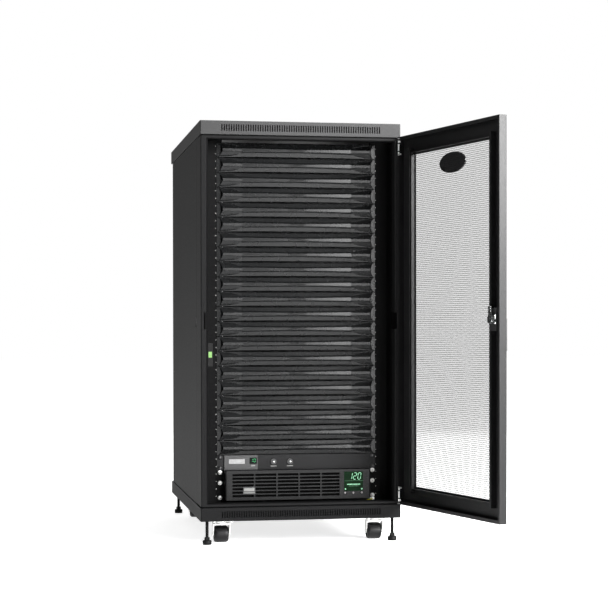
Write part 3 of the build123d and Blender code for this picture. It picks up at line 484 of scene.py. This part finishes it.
def add_rear_door(name, sign):
    """One leaf: a folded tray with a window, hinge pins and a perforated sheet."""
    bm = bmesh.new()

    def bar(x, y, z):
        low_x, high_x = sorted((sign * x[0], sign * x[1]))
        add_box(bm, (low_x, y[0], z[0]), (high_x, y[1], z[1]))

    skin = (REAR_Y[1] - LEAF_SHEET, REAR_Y[1])
    bar((LEAF_X[0], REAR_WINDOW[0]), skin, LEAF_Z)
    bar((REAR_WINDOW[1], LEAF_X[1]), skin, LEAF_Z)
    bar(REAR_WINDOW, skin, (LEAF_Z[0], REAR_WINDOW_V[0]))
    bar(REAR_WINDOW, skin, (REAR_WINDOW_V[1], LEAF_Z[1]))
    wall = (REAR_Y[0], skin[0])
    bar((LEAF_X[0], LEAF_X[0] + LEAF_SHEET), wall, LEAF_Z)
    bar((LEAF_X[1] - LEAF_SHEET, LEAF_X[1]), wall, (LEAF_Z[0] + 14, LEAF_Z[1] - 16))
    bar((LEAF_X[0], LEAF_X[1] - 4), wall, (LEAF_Z[0], LEAF_Z[0] + LEAF_SHEET))
    bar((LEAF_X[0], LEAF_X[1] - 4), wall, (LEAF_Z[1] - LEAF_SHEET, LEAF_Z[1]))
    for edge in (REAR_WINDOW[0] - 6, REAR_WINDOW[1] + 4.5):
        bar((edge, edge + 1.5), (416, skin[0]), REAR_WINDOW_V)
    for z in ((1184, 1187), (127, 130)):
        bar((286, LEAF_X[1] - LEAF_SHEET), (REAR_Y[0], 421), z)
    for low, length in ((1184, 17), (113.5, 16.5)):
        add_lathe(bm, (sign * 293, 415, low), (0, 0, 1), [(0, 2.5), (length, 2.5)])
    body = f"rear_door_{name}"
    leaf = finish_piece(f"rear_door_{name}_leaf", bm, COAT, body, bevel=0.0004)
    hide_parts(body)
    window = tuple(sorted((sign * REAR_WINDOW[0], sign * REAR_WINDOW[1])))
    perforated_sheet(f"rear_door_{name}_perforation", window, REAR_WINDOW_V, 2,
                     lambda u, v, w: Vector((u, skin[0] + 0.1 - w, v)) * MM, MESH_COAT, body)


# ---------------------------------------------------------------- blanking panels
# Millimetres. A panel is a quarter, mirrored twice: an inset runs from its end to mid-span, and a
# height from its middle to its upper edge. The crest is its most forward stretch, the waist is
# where its face ends, and the land is the sloping crescent at each end.
PANEL_HALF_X = 241.3
PANEL_HALF_Z = 21.8
PANEL_LIP_X = 222.0
EAR_FACE_Y = -369.0
CREST_RISE = 14.0
LAND_END = 2.0
LAND_DEPTH = 11.0
LAND_RISE = 0.5
LAND_SLOPE = 0.05
WALL_RUN = 4.5
SHOULDER = 0.35
SHOULDER_DROP = 5.0
FACET_DROP = 3.6
GROOVE_DEPTH = 9.0
GRIP_END = 76.0
GRIP_START = 14.0
RIM_STEP = 1.4
WAIST_STEP = 0.12
ON_EDGE = 0.01
BLANK_Z = 257.35


def crest_half(inset):
    """Half height of the crest's flat: even at the grips, then slimmer towards mid-span."""
    if inset < GRIP_END:
        return 3.9
    return 2.6 + 2.3 * (1 - (inset - GRIP_END) / (PANEL_HALF_X - GRIP_END)) ** 1.3


def crest_rise(inset):
    """The crest dips to the inner end of each grip and bows forward to mid-span."""
    if inset < GRIP_END:
        return CREST_RISE - 0.8 - 2.0 * inset / GRIP_END
    away = 1 - (inset - GRIP_END) / (PANEL_HALF_X - GRIP_END)
    return CREST_RISE - 2.8 + 2.4 * (1 - away * away)


def waist_height(inset):
    return 19.4 + 2.1 * (1 - min(1.0, inset / 150)) ** 2


def grip_spread(inset):
    """How wide a finger grip is, from 1 at the panel's end to 0 past the grip."""
    return math.sqrt(1 - min(1.0, max(0.0, (inset - GRIP_START) / (GRIP_END - GRIP_START))) ** 2)


def rim_height(inset):
    half = crest_half(inset)
    return half + (waist_height(inset) - 3.0 - half) * max(0.12, grip_spread(inset))


def land_width(z):
    return LAND_END + LAND_DEPTH * math.sqrt(max(0.0, 1 - (z / 21.5) ** 2))


def panel_rise(inset, z):
    """How far the panel stands forward, by the distance from its end and from its middle."""
    waist = waist_height(inset)
    if z > waist + ON_EDGE:
        return -GROOVE_DEPTH if inset > PANEL_HALF_X - PANEL_LIP_X else 0.0
    crest, half, rim = crest_rise(inset), crest_half(inset), rim_height(inset)
    across = max(0.0, z - half) / (waist - half)
    if across < SHOULDER:
        step = across / SHOULDER
        rise = crest - SHOULDER_DROP * step * step * (3 - 2 * step)
    else:
        rise = crest - SHOULDER_DROP - FACET_DROP * (across - SHOULDER) / (1 - SHOULDER)
    if inset < GRIP_END and half + ON_EDGE < z < rim + ON_EDGE:
        rise = min(rise, crest - grip_spread(inset) * (1.5 + 9.8 * (z - half) / (rim - half)))
    land = land_width(z)
    lift = LAND_RISE + LAND_SLOPE * min(inset, land)
    return min(rise, lift + max(0.0, inset - land) / WALL_RUN * CREST_RISE)


# Mesh rows as shares of the crest's flat, the grip and the facet, and columns by their inset
ROW_BANDS = ((0, 0.5, 1), (0.08, 0.25, 0.5, 0.75, 1), (0, 0.08, 0.16, 0.25, 0.35, 0.5, 0.75, 1))
COLUMN_STEPS = (24, 32, 42, 52, 60, 66, 70, 73, 75, 76.5, 80, 88, 100, 120, 150, 185, 215)


def row_heights(inset):
    """The heights of the mesh rows, which follow the crest's edge, the rim and the waist."""
    half, rim, waist = crest_half(inset), rim_height(inset), waist_height(inset)
    heights = [half * f for f in ROW_BANDS[0]]
    heights += [half + (rim - half) * f for f in ROW_BANDS[1]]
    heights += [rim + RIM_STEP + (waist - rim - RIM_STEP) * f for f in ROW_BANDS[2]]
    return heights + [waist + WAIST_STEP, (waist + PANEL_HALF_Z) / 2 + 0.06, PANEL_HALF_Z]


def column_insets(z):
    """The distances of the mesh columns from the panel's end, which follow the end land."""
    land = land_width(z)
    insets = [land * f for f in (0, 0.35, 0.7, 1)]
    return insets + [land + WALL_RUN * f for f in (0.3, 0.65, 1)] + list(COLUMN_STEPS)


def panel_point(column, row):
    """The inset, height and rise of one grid point in the quarter of a panel."""
    inset = column_insets(0)[column]
    for _ in range(3):
        z = row_heights(inset)[row]
        inset = column_insets(z)[column]
    return inset, z, panel_rise(inset, z)


def add_blanking_panels():
    """Each panel is one warped grid, with a lip behind each ear and a lining behind its face."""
    columns, rows = len(column_insets(0)), len(row_heights(0))
    quarter = [[panel_point(column, row) for row in range(rows)] for column in range(columns)]
    quarter.append([(PANEL_HALF_X, z, panel_rise(PANEL_HALF_X, z)) for z in row_heights(PANEL_HALF_X)])
    bm = bmesh.new()
    for unit in range(PANEL_COUNT):
        middle = BLANK_Z + (unit + 0.5) * UNIT / MM
        grid = []
        for side in (-1, 1):
            for column in (quarter if side < 0 else quarter[-2::-1]):
                points = [(i, -z, r) for i, z, r in column[:0:-1]] + column
                grid.append([bm.verts.new(Vector((side * (PANEL_HALF_X - i), EAR_FACE_Y - r,
                                                  middle + z)) * MM) for i, z, r in points])
        for left, right in zip(grid, grid[1:]):
            for i in range(2 * rows - 2):
                face = bm.faces.new((left[i], right[i], right[i + 1], left[i + 1]))
                # The faces down in the grooves between panels take the near-black second material:
                # painted shade.
                face.material_index = 1 if i < 3 or i > 2 * rows - 6 else 0
        for ear in ((-PANEL_HALF_X, -PANEL_LIP_X), (PANEL_LIP_X, PANEL_HALF_X)):
            add_box(bm, (ear[0], EAR_FACE_Y + 0.02, middle - PANEL_HALF_Z),
                    (ear[1], EAR_FACE_Y + 2, middle + PANEL_HALF_Z))
        back = EAR_FACE_Y + GROOVE_DEPTH
        add_box(bm, (-PANEL_LIP_X, back + 0.02, middle - PANEL_HALF_Z),
                (PANEL_LIP_X, back + 1, middle + PANEL_HALF_Z))
        add_box(bm, (-PANEL_LIP_X, back + 1.05, middle + PANEL_HALF_Z - 2),
                (PANEL_LIP_X, back + 2, middle + PANEL_HALF_Z + 2))
    piece = finish_piece("contoured_panels", bm, PANEL_PLASTIC, "cabinet", smooth=24)
    piece.data.materials.append(LINER_AND_SHADE_BLACK)
    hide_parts("blanking_panels")


def add_panel_marks():
    """A plain raised oblong on the middle of every crest, in the darker coat: painted shade of its
    edges.
    """
    bm = bmesh.new()
    for unit in range(PANEL_COUNT):
        z = BLANK_Z + (unit + 0.5) * UNIT / MM
        for u, v in (((-27, 27), (1.9, 2.5)), ((-27, 27), (-2.5, -1.9)), ((-27, -26.2), (-1.9, 1.9)),
                     ((26.2, 27), (-1.9, 1.9)), ((-22, 22), (-0.7, 0.7))):
            add_bar(bm, u, (z + v[0], z + v[1]), EAR_FACE_Y - CREST_RISE + 0.8, 0.7)
    finish_piece("panel_marks", bm, SHADED_COAT, "cabinet")


# ---------------------------------------------------------------- displays
PDU_GLASS_Y = -372.7
BEZEL_FACE_Y = -399.0
BADGE_THICK = 0.9
SEGMENTS = {"0": "abcdef", "1": "bc", "2": "abged"}


def segment_outlines(width, height, thick):
    """The seven segments of a digit: outlines with pointed ends, from its lower left corner."""
    half = height / 2
    t = thick / 2
    gap = 0.12 * thick

    def level(v):
        return [(gap + t, v), (gap + 2 * t, v + t), (width - gap - 2 * t, v + t), (width - gap - t, v),
                (width - gap - 2 * t, v - t), (gap + 2 * t, v - t)]

    def upright(u, low):
        return [(u, low + gap + t), (u + t, low + gap + 2 * t), (u + t, low + half - gap - 2 * t),
                (u, low + half - gap - t), (u - t, low + half - gap - 2 * t),
                (u - t, low + gap + 2 * t)]

    return {"a": level(height), "g": level(half), "d": level(0.0), "f": upright(0.0, half),
            "b": upright(width, half), "e": upright(0.0, 0.0), "c": upright(width, 0.0)}


def add_digits(bm, text, left, low, width, height, pitch, thick, slant, y):
    for index, digit in enumerate(text):
        for key in SEGMENTS[digit]:
            outline = [(left + index * pitch + u + slant * v, low + v)
                       for u, v in segment_outlines(width, height, thick)[key]]
            add_prism(bm, outline, on_front(y), 0.15)


def add_bar(bm, u, v, y, thickness=0.15):
    add_prism(bm, [(u[0], v[0]), (u[1], v[0]), (u[1], v[1]), (u[0], v[1])], on_front(y), thickness)


def add_ups_display():
    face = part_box("ups_display")[0].y / MM
    bm = bmesh.new()
    add_digits(bm, "120", 154.0, 181.8, 8.4, 19.6, 13.3, 1.6, 0.13, face)
    finish_piece("ups_display_digits", bm, LCD_DIGIT, "cabinet")
    bm = bmesh.new()
    for step in range(10):
        add_bar(bm, (149.0 + step * 4.0, 152.0 + step * 4.0), (165.6, 168.2), face)
    for x in (143.5, 193.5):
        add_lathe(bm, (x, face, 152.8), (0, -1, 0), [(0, 2.0), (0.15, 2.0)], 16)
    finish_piece("ups_display_indicators", bm, LCD_DIGIT, "cabinet")
    bm = bmesh.new()
    add_bar(bm, (141.0, 196.2), (177.2, 177.8), face, 0.1)
    add_bar(bm, (154.0, 184.0), (161.4, 162.2), face, 0.1)
    finish_piece("ups_display_lines", bm, LCD_LINE, "cabinet")


def add_pdu_display():
    bm = bmesh.new()
    add_digits(bm, "10", -140.0, 236.2, 5.4, 9.6, 8.6, 1.3, 0.1, PDU_GLASS_Y)
    finish_piece("pdu_display_digits", bm, LED_DIGIT, "cabinet")


# ---------------------------------------------------------------- device faces
PDU_FACE_Y = -373.0


def add_pdu_face():
    """The darker left part of the power strip's face, around its display window."""
    bm = bmesh.new()
    z = (213.8, 256.5)
    for u, v in (((-219.5, -144.4), z), ((-121.6, -119.0), z), ((-144.4, -121.6), (z[0], 230.5)),
                 ((-144.4, -121.6), (249.8, z[1]))):
        add_bar(bm, u, v, PDU_FACE_Y, 0.35)
    finish_piece("pdu_display_panel", bm, HARD_PLASTIC, "cabinet")
    bm = bmesh.new()
    for x in (-71.0, -21.3):
        add_bar(bm, (x - 9, x + 9), (222.2, 224.6), PDU_FACE_Y, 0.12)
    add_bar(bm, (-139.5, -127.0), (223.8, 226.6), PDU_FACE_Y - 0.35, 0.12)
    finish_piece("pdu_plain_marks", bm, PALE_MARK, "cabinet")
    bm = bmesh.new()
    add_bar(bm, (-206, -158), (231.5, 245.5), PDU_FACE_Y - 0.35, 0.8)
    finish_piece("pdu_plain_badge", bm, BADGE_METAL, "cabinet", bevel=0.0003)


def add_ups_badge():
    bm = bmesh.new()
    add_bar(bm, (-167, -130), (143, 164), BEZEL_FACE_Y, BADGE_THICK)
    finish_piece("ups_badge_plate", bm, HARD_PLASTIC, "cabinet", bevel=0.0004)
    bm = bmesh.new()
    add_bar(bm, (-164, -133), (151.5, 160.5), BEZEL_FACE_Y - BADGE_THICK, 0.15)
    add_bar(bm, (-165, -132), (145.6, 148.0), BEZEL_FACE_Y - BADGE_THICK, 0.15)
    finish_piece("ups_badge_inlay", bm, PALE_MARK, "cabinet")


def add_screw(bm, x, z, y):
    """A cup washer and a pan head, seen from the front."""
    add_lathe(bm, (x, y, z), (0, -1, 0), [(0, 6.6), (0.5, 6.6), (1.6, 5.2), (1.9, 4.9)])
    add_lathe(bm, (x, y - 1.7, z), (0, -1, 0),
              [(0, 4.5), (1.2, 4.5), (2.2, 3.9), (2.9, 2.6), (3.1, 1.4)])
    add_lathe(bm, (x, y, z), (0, 1, 0), [(0, 3.0), (14, 3.0), (16, 2.4)], 12)


SCREW_GROUPS = {
    "ups_rack_screws": ((130.35, 174.8, 206.55), NICKEL),
    "pdu_rack_screws": ((219.25, 251.0), HARD_PLASTIC),
}


def add_rack_screws():
    for name, (heights, material) in SCREW_GROUPS.items():
        bm = bmesh.new()
        for side in (-1, 1):
            for z in heights:
                add_screw(bm, side * HOLE_SPACING / MM / 2, z, EAR_FACE_Y)
        piece = finish_piece(name, bm, material, "cabinet", smooth=40)
        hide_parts("rack_screws")
    bm = bmesh.new()
    for side in (-1, 1):
        for z in SCREW_GROUPS["ups_rack_screws"][0]:
            x = side * HOLE_SPACING / MM / 2
            # The cross slots are thin dark bars on the heads: painted shade in place of the recesses.
            for u, v in (((-2.0, 2.0), (-0.5, 0.5)), ((-0.5, 0.5), (-2.0, 2.0))):
                add_bar(bm, (x + u[0], x + u[1]), (z + v[0], z + v[1]), EAR_FACE_Y - 4.7, 0.12)
    finish_piece("screw_cross_slot_shades", bm, HARD_PLASTIC, "cabinet")


def add_rail_marks():
    """Small pale dots beside the rails' holes, two to a unit."""
    bm = bmesh.new()
    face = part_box("front_mounting_rails")[0].y / MM
    for side in (-1, 1):
        for index in range(2 * RACK_UNITS):
            z = RACK_FOOT_Z + (index + 0.5) * UNIT / MM / 2
            add_lathe(bm, (side * 243.5, face, z), (0, -1, 0), [(0, 1.1), (0.15, 1.1)], 10)
    finish_piece("rail_unit_dots", bm, RAIL_MARK, "cabinet")


# ---------------------------------------------------------------- small fittings
def add_sensor_label():
    low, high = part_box("door_sensor")
    bm = bmesh.new()
    x, y = high.x / MM, low.y / MM
    add_box(bm, (x - 0.05, y + 3, 551), (x + 0.25, y + 19, 568))
    add_box(bm, (x - 12.5, y - 0.25, 551), (x - 2.5, y + 0.05, 568))
    finish_piece("sensor_label", bm, SENSOR_LABEL, "cabinet")


BOND_ROUTE = ((232, -371, 119.5), (226, -380.5, 119.7), (217, -387.5, 118.8), (207, -393, 116.4),
              (198, -399.5, 114.7))


def add_bonding_wire():
    curve = bpy.data.curves.new("bonding_lead", "CURVE")
    curve.dimensions = "3D"
    curve.bevel_depth = 2 * MM
    curve.bevel_resolution = 5
    curve.use_fill_caps = True
    spline = curve.splines.new("NURBS")
    spline.points.add(len(BOND_ROUTE) - 1)
    for point, place in zip(spline.points, BOND_ROUTE):
        point.co = (*(Vector(place) * MM), 1)
    spline.order_u = 3
    spline.use_endpoint_u = True
    spline.resolution_u = 8
    curve.materials.append(WIRE)
    lead = bpy.data.objects.new("bonding_lead", curve)
    bpy.context.scene.collection.objects.link(lead)
    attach(lead, "cabinet")
    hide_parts("bonding_wire")
    bm = bmesh.new()
    add_box(bm, (225, -370, 116), (239, -367, 123.5))
    add_box(bm, (190, -407, 111.5), (202, -395, 113))
    add_lathe(bm, (196, -401, 113), (0, 0, 1), [(0, 4.5), (1.2, 4.5), (2.4, 3.2)], 6)
    finish_piece("bonding_lugs", bm, ZINC, "cabinet", bevel=0.0003)


BRISTLE_COUNT = 170


def add_brushes():
    """Bristles in four holders under the roof's two cable slots."""
    holder = bmesh.new()
    bristles = bmesh.new()
    for sign in (-1, 1):
        for edge, inward in ((250, 1), (300, -1)):
            y = sorted((sign * (edge - 10 * inward), sign * (edge + 2 * inward)))
            add_box(holder, (-128, y[0], 1238), (128, y[1], 1243))
            root, tip = sign * (edge + 1.5 * inward), sign * (edge + 18 * inward)
            for step in range(BRISTLE_COUNT):
                x = -127 + step * 254 / (BRISTLE_COUNT - 1)
                lean = RANDOM.uniform(-1.2, 1.2)
                rise = RANDOM.uniform(-1.0, 1.0)
                add_bristle(bristles, (x, root, 1240.5 + rise),
                            (x + lean, tip - math.copysign(RANDOM.uniform(0, 1.5), tip - root),
                             1240.5 + rise * 1.3))
    piece = finish_piece("brush_holders", holder, HARD_PLASTIC, "cabinet", bevel=0.0005)
    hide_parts("cable_brushes")
    finish_piece("brush_bristles", bristles, BRISTLE, "cabinet")


def add_bristle(bm, root, tip):
    radius = 0.45
    rings = [[bm.verts.new((Vector(end) + Vector((radius * math.cos(a), 0, radius * math.sin(a)))) * MM)
              for a in (0.5, 2.6, 4.7)] for end in (root, tip)]
    for i in range(3):
        j = (i + 1) % 3
        bm.faces.new((rings[0][i], rings[0][j], rings[1][j], rings[1][i]))
    bm.faces.new(rings[0])
    bm.faces.new(rings[1])


def add_fascia_slot_shades():
    """Thin near-black strips, hemmed along both edges, close the slots of the four fascias: painted
    shade that keeps the slots dark.
    """
    bm = bmesh.new()
    for z in ((74, 105.5), (1209, 1241)):
        for front in (-457.9, 457.0):
            add_box(bm, (-250, front, z[0]), (250, front + 0.9, z[1]))
            for edge in (z[0], z[1] - 1.6):
                add_box(bm, (-250, front + (0.9 if front < 0 else -1.6), edge),
                        (250, front + (2.5 if front < 0 else 0.0), edge + 1.6))
    finish_piece("fascia_slot_shades", bm, LINER_AND_SHADE_BLACK, "cabinet")


def add_rear_seals():
    """A strip of foam down each rear post, where the edge of the closed rear door comes."""
    bm = bmesh.new()
    for side in (-1, 1):
        x = sorted((side * 280, side * 286))
        add_box(bm, (x[0], 408.02, 126), (x[1], 410.25, 1188))
    finish_piece("rear_door_seals", bm, LINER_AND_SHADE_BLACK, "cabinet", bevel=0.0006)


def add_grille_filter_and_shade():
    """A fine pleated dust mat behind the grille of the UPS, in near-black: partly a real filter, partly
    painted shade that keeps the slots dark.
    """
    bm = bmesh.new()
    for low, high in ((-203, 0), (0, 130)):
        pleats = round((high - low) / 5.5)
        xs = [low + (high - low) * step / pleats for step in range(pleats + 1)]
        front = [(x, -392.6 + 0.4 * (step % 2)) for step, x in enumerate(xs)]
        add_prism(bm, front + [(x, y + 0.4) for x, y in reversed(front)],
                  lambda x, y, z: Vector((x, y, 129 + z)) * MM, 79)
    finish_piece("ups_grille_filter_and_shade", bm, LINER_AND_SHADE_BLACK, "cabinet")


def add_bezel_ribs():
    """Fine level ribs down both ends of the UPS bezel."""
    bm = bmesh.new()
    for side in (-1, 1):
        x = sorted((side * 205.5, side * 214.5))
        for step in range(32):
            z = 131.5 + step * 2.3
            add_bar(bm, x, (z, z + 1.1), BEZEL_FACE_Y, 0.3)
    finish_piece("ups_bezel_ribs", bm, BEZEL_PLASTIC, "cabinet")


WHEEL_PROFILE = ((-21, 5), (-21, 8.5), (-17.5, 9.5), (-17.5, 16), (-21, 17.2), (-21, 20.2),
                 (-19.6, 22.6), (-17, 24.1), (-13, 24.8), (-7, 25), (7, 25), (13, 24.8), (17, 24.1),
                 (19.6, 22.6), (21, 20.2), (21, 17.2), (17.5, 16), (17.5, 9.5), (21, 8.5), (21, 5))


def add_wheels():
    """Barrel wheels with a recessed web between the hub and the rim."""
    for end in ("front", "rear"):
        for side in ("left", "right"):
            low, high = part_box(f"caster_wheel_{end}_{side}")
            bm = bmesh.new()
            add_lathe(bm, (low + high) / 2 / MM, (1, 0, 0), WHEEL_PROFILE, 48)
            wheel = finish_piece(f"barrel_wheel_{end}_{side}", bm, TREAD, f"wheel_{end}_{side}",
                                 smooth=35)
            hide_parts(f"caster_wheel_{end}_{side}")


THREAD_PITCH = 1.5


def add_feet():
    """Levelling feet: ribbed pad, hexagon collar and a threaded stem."""
    for end in ("front", "rear"):
        for side in ("left", "right"):
            low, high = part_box(f"levelling_foot_{end}_{side}")
            centre = (low + high) / 2 / MM
            place = (centre.x, centre.y, low.z / MM)
            bm = bmesh.new()
            add_lathe(bm, place, (0, 0, 1), [(0, 12.2), (1.2, 13.4), (4, 13.5), (4.4, 12.9),
                                             (5.2, 12.9), (5.6, 13.5), (10.8, 13.4), (12.4, 12.4),
                                             (13, 11.0)], 32)
            add_lathe(bm, place, (0, 0, 1), [(13, 7.4), (13.4, 8), (21.4, 8), (22, 7.2)], 6)
            turns = int((high.z / MM - low.z / MM - 24) / THREAD_PITCH)
            thread = [(22, 4.9)]
            for turn in range(turns):
                z = 22 + turn * THREAD_PITCH
                thread += [(z + 0.45, 4.3), (z + 0.75, 4.3), (z + 1.25, 5.0), (z + 1.45, 5.0)]
            thread.append((high.z / MM - low.z / MM, 4.2))
            add_lathe(bm, place, (0, 0, 1), thread, 20)
            foot = finish_piece(f"threaded_foot_{end}_{side}", bm, FOOT_BLACK,
                                f"foot_{end}_{side}", smooth=35)
            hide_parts(f"levelling_foot_{end}_{side}")


def add_sockets():
    """Recess rims on the outlets at the back of both devices, and thin dark marks that paint the shade
    in their pin slots.
    """
    rims = bmesh.new()
    slots = bmesh.new()
    places = [(-60 + (column - 2.5) * 42, 168 + (row - 0.5) * 34, 119.5)
              for column in range(6) for row in range(2)]
    places += [((column - 3.5) * 50, 235.1, -188.5) for column in range(8)]
    for x, z, y in places:
        for u, v in (((-13, 13), (8.4, 9.6)), ((-13, 13), (-9.6, -8.4)), ((-13, -11.8), (-8.4, 8.4)),
                     ((11.8, 13), (-8.4, 8.4))):
            add_box(rims, (x + u[0], y, z + v[0]), (x + u[1], y + 1.2, z + v[1]))
        # Each pin slot is a thin dark mark on the face: painted shade in place of the hole.
        for u, v in ((-6.5, -1.5), (6.5, -1.5), (0, 3.5)):
            add_box(slots, (x + u - 1, y, z + v - 3), (x + u + 1, y + 0.2, z + v + 3))
    finish_piece("outlet_rims", rims, HARD_PLASTIC, "cabinet", bevel=0.0002)
    finish_piece("outlet_pin_slot_shades", slots, DARK_GLASS_AND_HOLE_SHADE, "cabinet")


def add_key_cylinder():
    """The lock's key cylinder on the door handle's base plate."""
    bm = bmesh.new()
    centre = Vector((-257, -491.5, 678))
    add_lathe(bm, centre, (0, -1, 0), [(-0.2, 6.5), (1.2, 6.5), (1.8, 5.8)])
    bm.transform(DOOR_TURN)
    finish_piece("key_cylinder", bm, NICKEL, "front_door")
    bm = bmesh.new()
    # The key slot is a thin dark slab on the cylinder's face: painted shade in place of the keyway.
    add_box(bm, (-257.7, -493.5, 675), (-256.3, -493.25, 681), DOOR_TURN)
    finish_piece("key_slot_shade", bm, DARK_GLASS_AND_HOLE_SHADE, "front_door")


# ---------------------------------------------------------------- materials on CAD nodes
MATERIALS = {
    "base_frame": COAT, "roof_cover": ROOF_COAT, "front_frame": COAT, "rear_frame": COAT,
    # The darker coat on the braces, rails and device bodies inside the cabinet is painted shade.
    "depth_braces": SHADED_COAT, "front_mounting_rails": SHADED_COAT, "rear_mounting_rails": SHADED_COAT,
    "side_panel_left": SIDE_LIT_COAT, "side_panel_right": SIDE_LIT_COAT,
    "door_frame": DOOR_COAT, "door_mesh": MESH_COAT,
    "pdu_faceplate": STEEL_FACE, "pdu_housing": SHADED_COAT, "pdu_display": DARK_GLASS_AND_HOLE_SHADE,
    "pdu_outlets": HARD_PLASTIC, "ups_chassis": SHADED_COAT, "ups_top_cover": SHADED_COAT,
    "ups_bezel": BEZEL_PLASTIC, "ups_display": LCD_FIELD, "ups_battery_pack": BATTERY_CASE,
    "ups_power_board": BOARD, "ups_fan_frame": HARD_PLASTIC, "ups_fan_rotor": HARD_PLASTIC,
    "ups_outlets": HARD_PLASTIC, "ups_support_rails": SHADED_COAT, "cage_nuts": ZINC,
    "door_sensor": FOOT_BLACK, "door_badge": HARD_PLASTIC, "hinge_pin": ZINC,
    "latch_base": HARD_PLASTIC, "latch_cam": CHROME, "door_handle": HARD_PLASTIC,
    "rear_handle": HARD_PLASTIC, "side_latch": HARD_PLASTIC, "pdu_breaker": HARD_PLASTIC,
    "ups_button": GREY_KNOB, "caster_plates": ZINC, "caster_fork": ZINC, "caster_wheel": TREAD,
    "levelling_foot": FOOT_BLACK, "blanking_panels": PANEL_PLASTIC, "rack_screws": ZINC,
    "bonding_wire": WIRE, "cable_brushes": BRISTLE, "rear_door": COAT,
}


def material_for(node):
    """A node's own entry, or the entry that its name starts with."""
    if node in MATERIALS:
        return MATERIALS[node]
    return next(material for start, material in MATERIALS.items() if node.startswith(start))


def paint_nodes():
    for name, node in NODES.items():
        node.data.materials.clear()
        node.data.materials.append(material_for(name))
        node.data.polygons.foreach_set("use_smooth", [True] * len(node.data.polygons))
        node.data.set_sharp_from_angle(angle=math.radians(30))


def paint_power_board():
    """Aluminium on the heat sink's fins and a sleeve on the capacitors of the power board."""
    node = NODES["ups_power_board"]
    node.data.materials.append(ALUMINIUM)
    node.data.materials.append(CAPACITOR_SLEEVE)
    node.data.materials.append(BATTERY_CASE)
    board_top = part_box("ups_power_board")[0].z + 8.2 * MM
    for face in node.data.polygons:
        x = face.center.x / MM
        if face.center.z > board_top:
            face.material_index = 3 if x < -95 else 1 if x < 20 else 2


def paint_breaker_collars():
    """The collars around the reset buttons stand forward of the power strip's steel face."""
    face = NODES["pdu_faceplate"].data
    face.materials.append(HARD_PLASTIC)
    for polygon in face.polygons:
        if polygon.center.y / MM < PDU_FACE_Y - 0.2:
            polygon.material_index = 1


SIDE_FACE_X = 297.5
FRONT_LIP_Y = -457
REAR_LIP_Y = 405


def shade_post_insides():
    """The inner faces of both frames, behind the doorway, get the darker copy of the coat: painted
    shade.
    """
    for name in ("front_frame", "rear_frame"):
        frame_mesh = NODES[name].data
        frame_mesh.materials.append(SHADED_COAT)
        for polygon in frame_mesh.polygons:
            x, y = abs(polygon.center.x) / MM, polygon.center.y / MM
            inside = y > FRONT_LIP_Y if name == "front_frame" else y < REAR_LIP_Y
            if inside and x < SIDE_FACE_X:
                polygon.material_index = 1


def paint_side_light():
    """The sides of the frames and the base get the same dull coat as the side panels, painted lighter
    than the front as the light falls on the sides.
    """
    for name in ("front_frame", "rear_frame", "base_frame"):
        frame_mesh = NODES[name].data
        frame_mesh.materials.append(SIDE_LIT_COAT)
        for polygon in frame_mesh.polygons:
            if abs(polygon.normal.x) > 0.9 and abs(polygon.center.x) / MM > SIDE_FACE_X:
                polygon.material_index = len(frame_mesh.materials) - 1


def paint_roof_top():
    """The roof's upper face is duller than its fascias."""
    roof = NODES["roof_cover"].data
    roof.materials.append(ROOF_TOP)
    for polygon in roof.polygons:
        if polygon.normal.z > 0.9:
            polygon.material_index = 1


def add_breaker_highlights():
    """A pale disc a little right of centre on each reset button: a painted highlight."""
    for side in ("left", "right"):
        low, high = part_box(f"pdu_breaker_{side}")
        centre = (low + high) / 2 / MM
        bm = bmesh.new()
        add_lathe(bm, (centre.x + 0.6, low.y / MM + 0.1, centre.z), (0, -1, 0),
                  [(0, 2.1), (0.12, 1.9)], 20)
        finish_piece(f"breaker_highlight_{side}", bm, HIGHLIGHT_WHITE, f"pdu_breaker_{side}")


def add_floor():
    bm = bmesh.new()
    bmesh.ops.create_grid(bm, x_segments=1, y_segments=1, size=30)
    mesh = bpy.data.meshes.new("floor")
    bm.to_mesh(mesh)
    bm.free()
    mesh.materials.append(painted_floor("pale_floor"))
    floor = bpy.data.objects.new("floor", mesh)
    bpy.context.scene.collection.objects.link(floor)


add_camera()
add_studio()
add_floor()
paint_nodes()
paint_power_board()
paint_breaker_collars()
shade_post_insides()
paint_side_light()
paint_roof_top()
add_breaker_highlights()
add_door_mesh()
add_rear_door("left", -1)
add_rear_door("right", 1)
add_blanking_panels()
add_panel_marks()
add_ups_display()
add_pdu_display()
add_pdu_face()
add_ups_badge()
add_rack_screws()
add_rail_marks()
add_sensor_label()
add_bonding_wire()
add_brushes()
add_fascia_slot_shades()
add_rear_seals()
add_grille_filter_and_shade()
add_bezel_ribs()
add_wheels()
add_feet()
add_sockets()
add_key_cylinder()
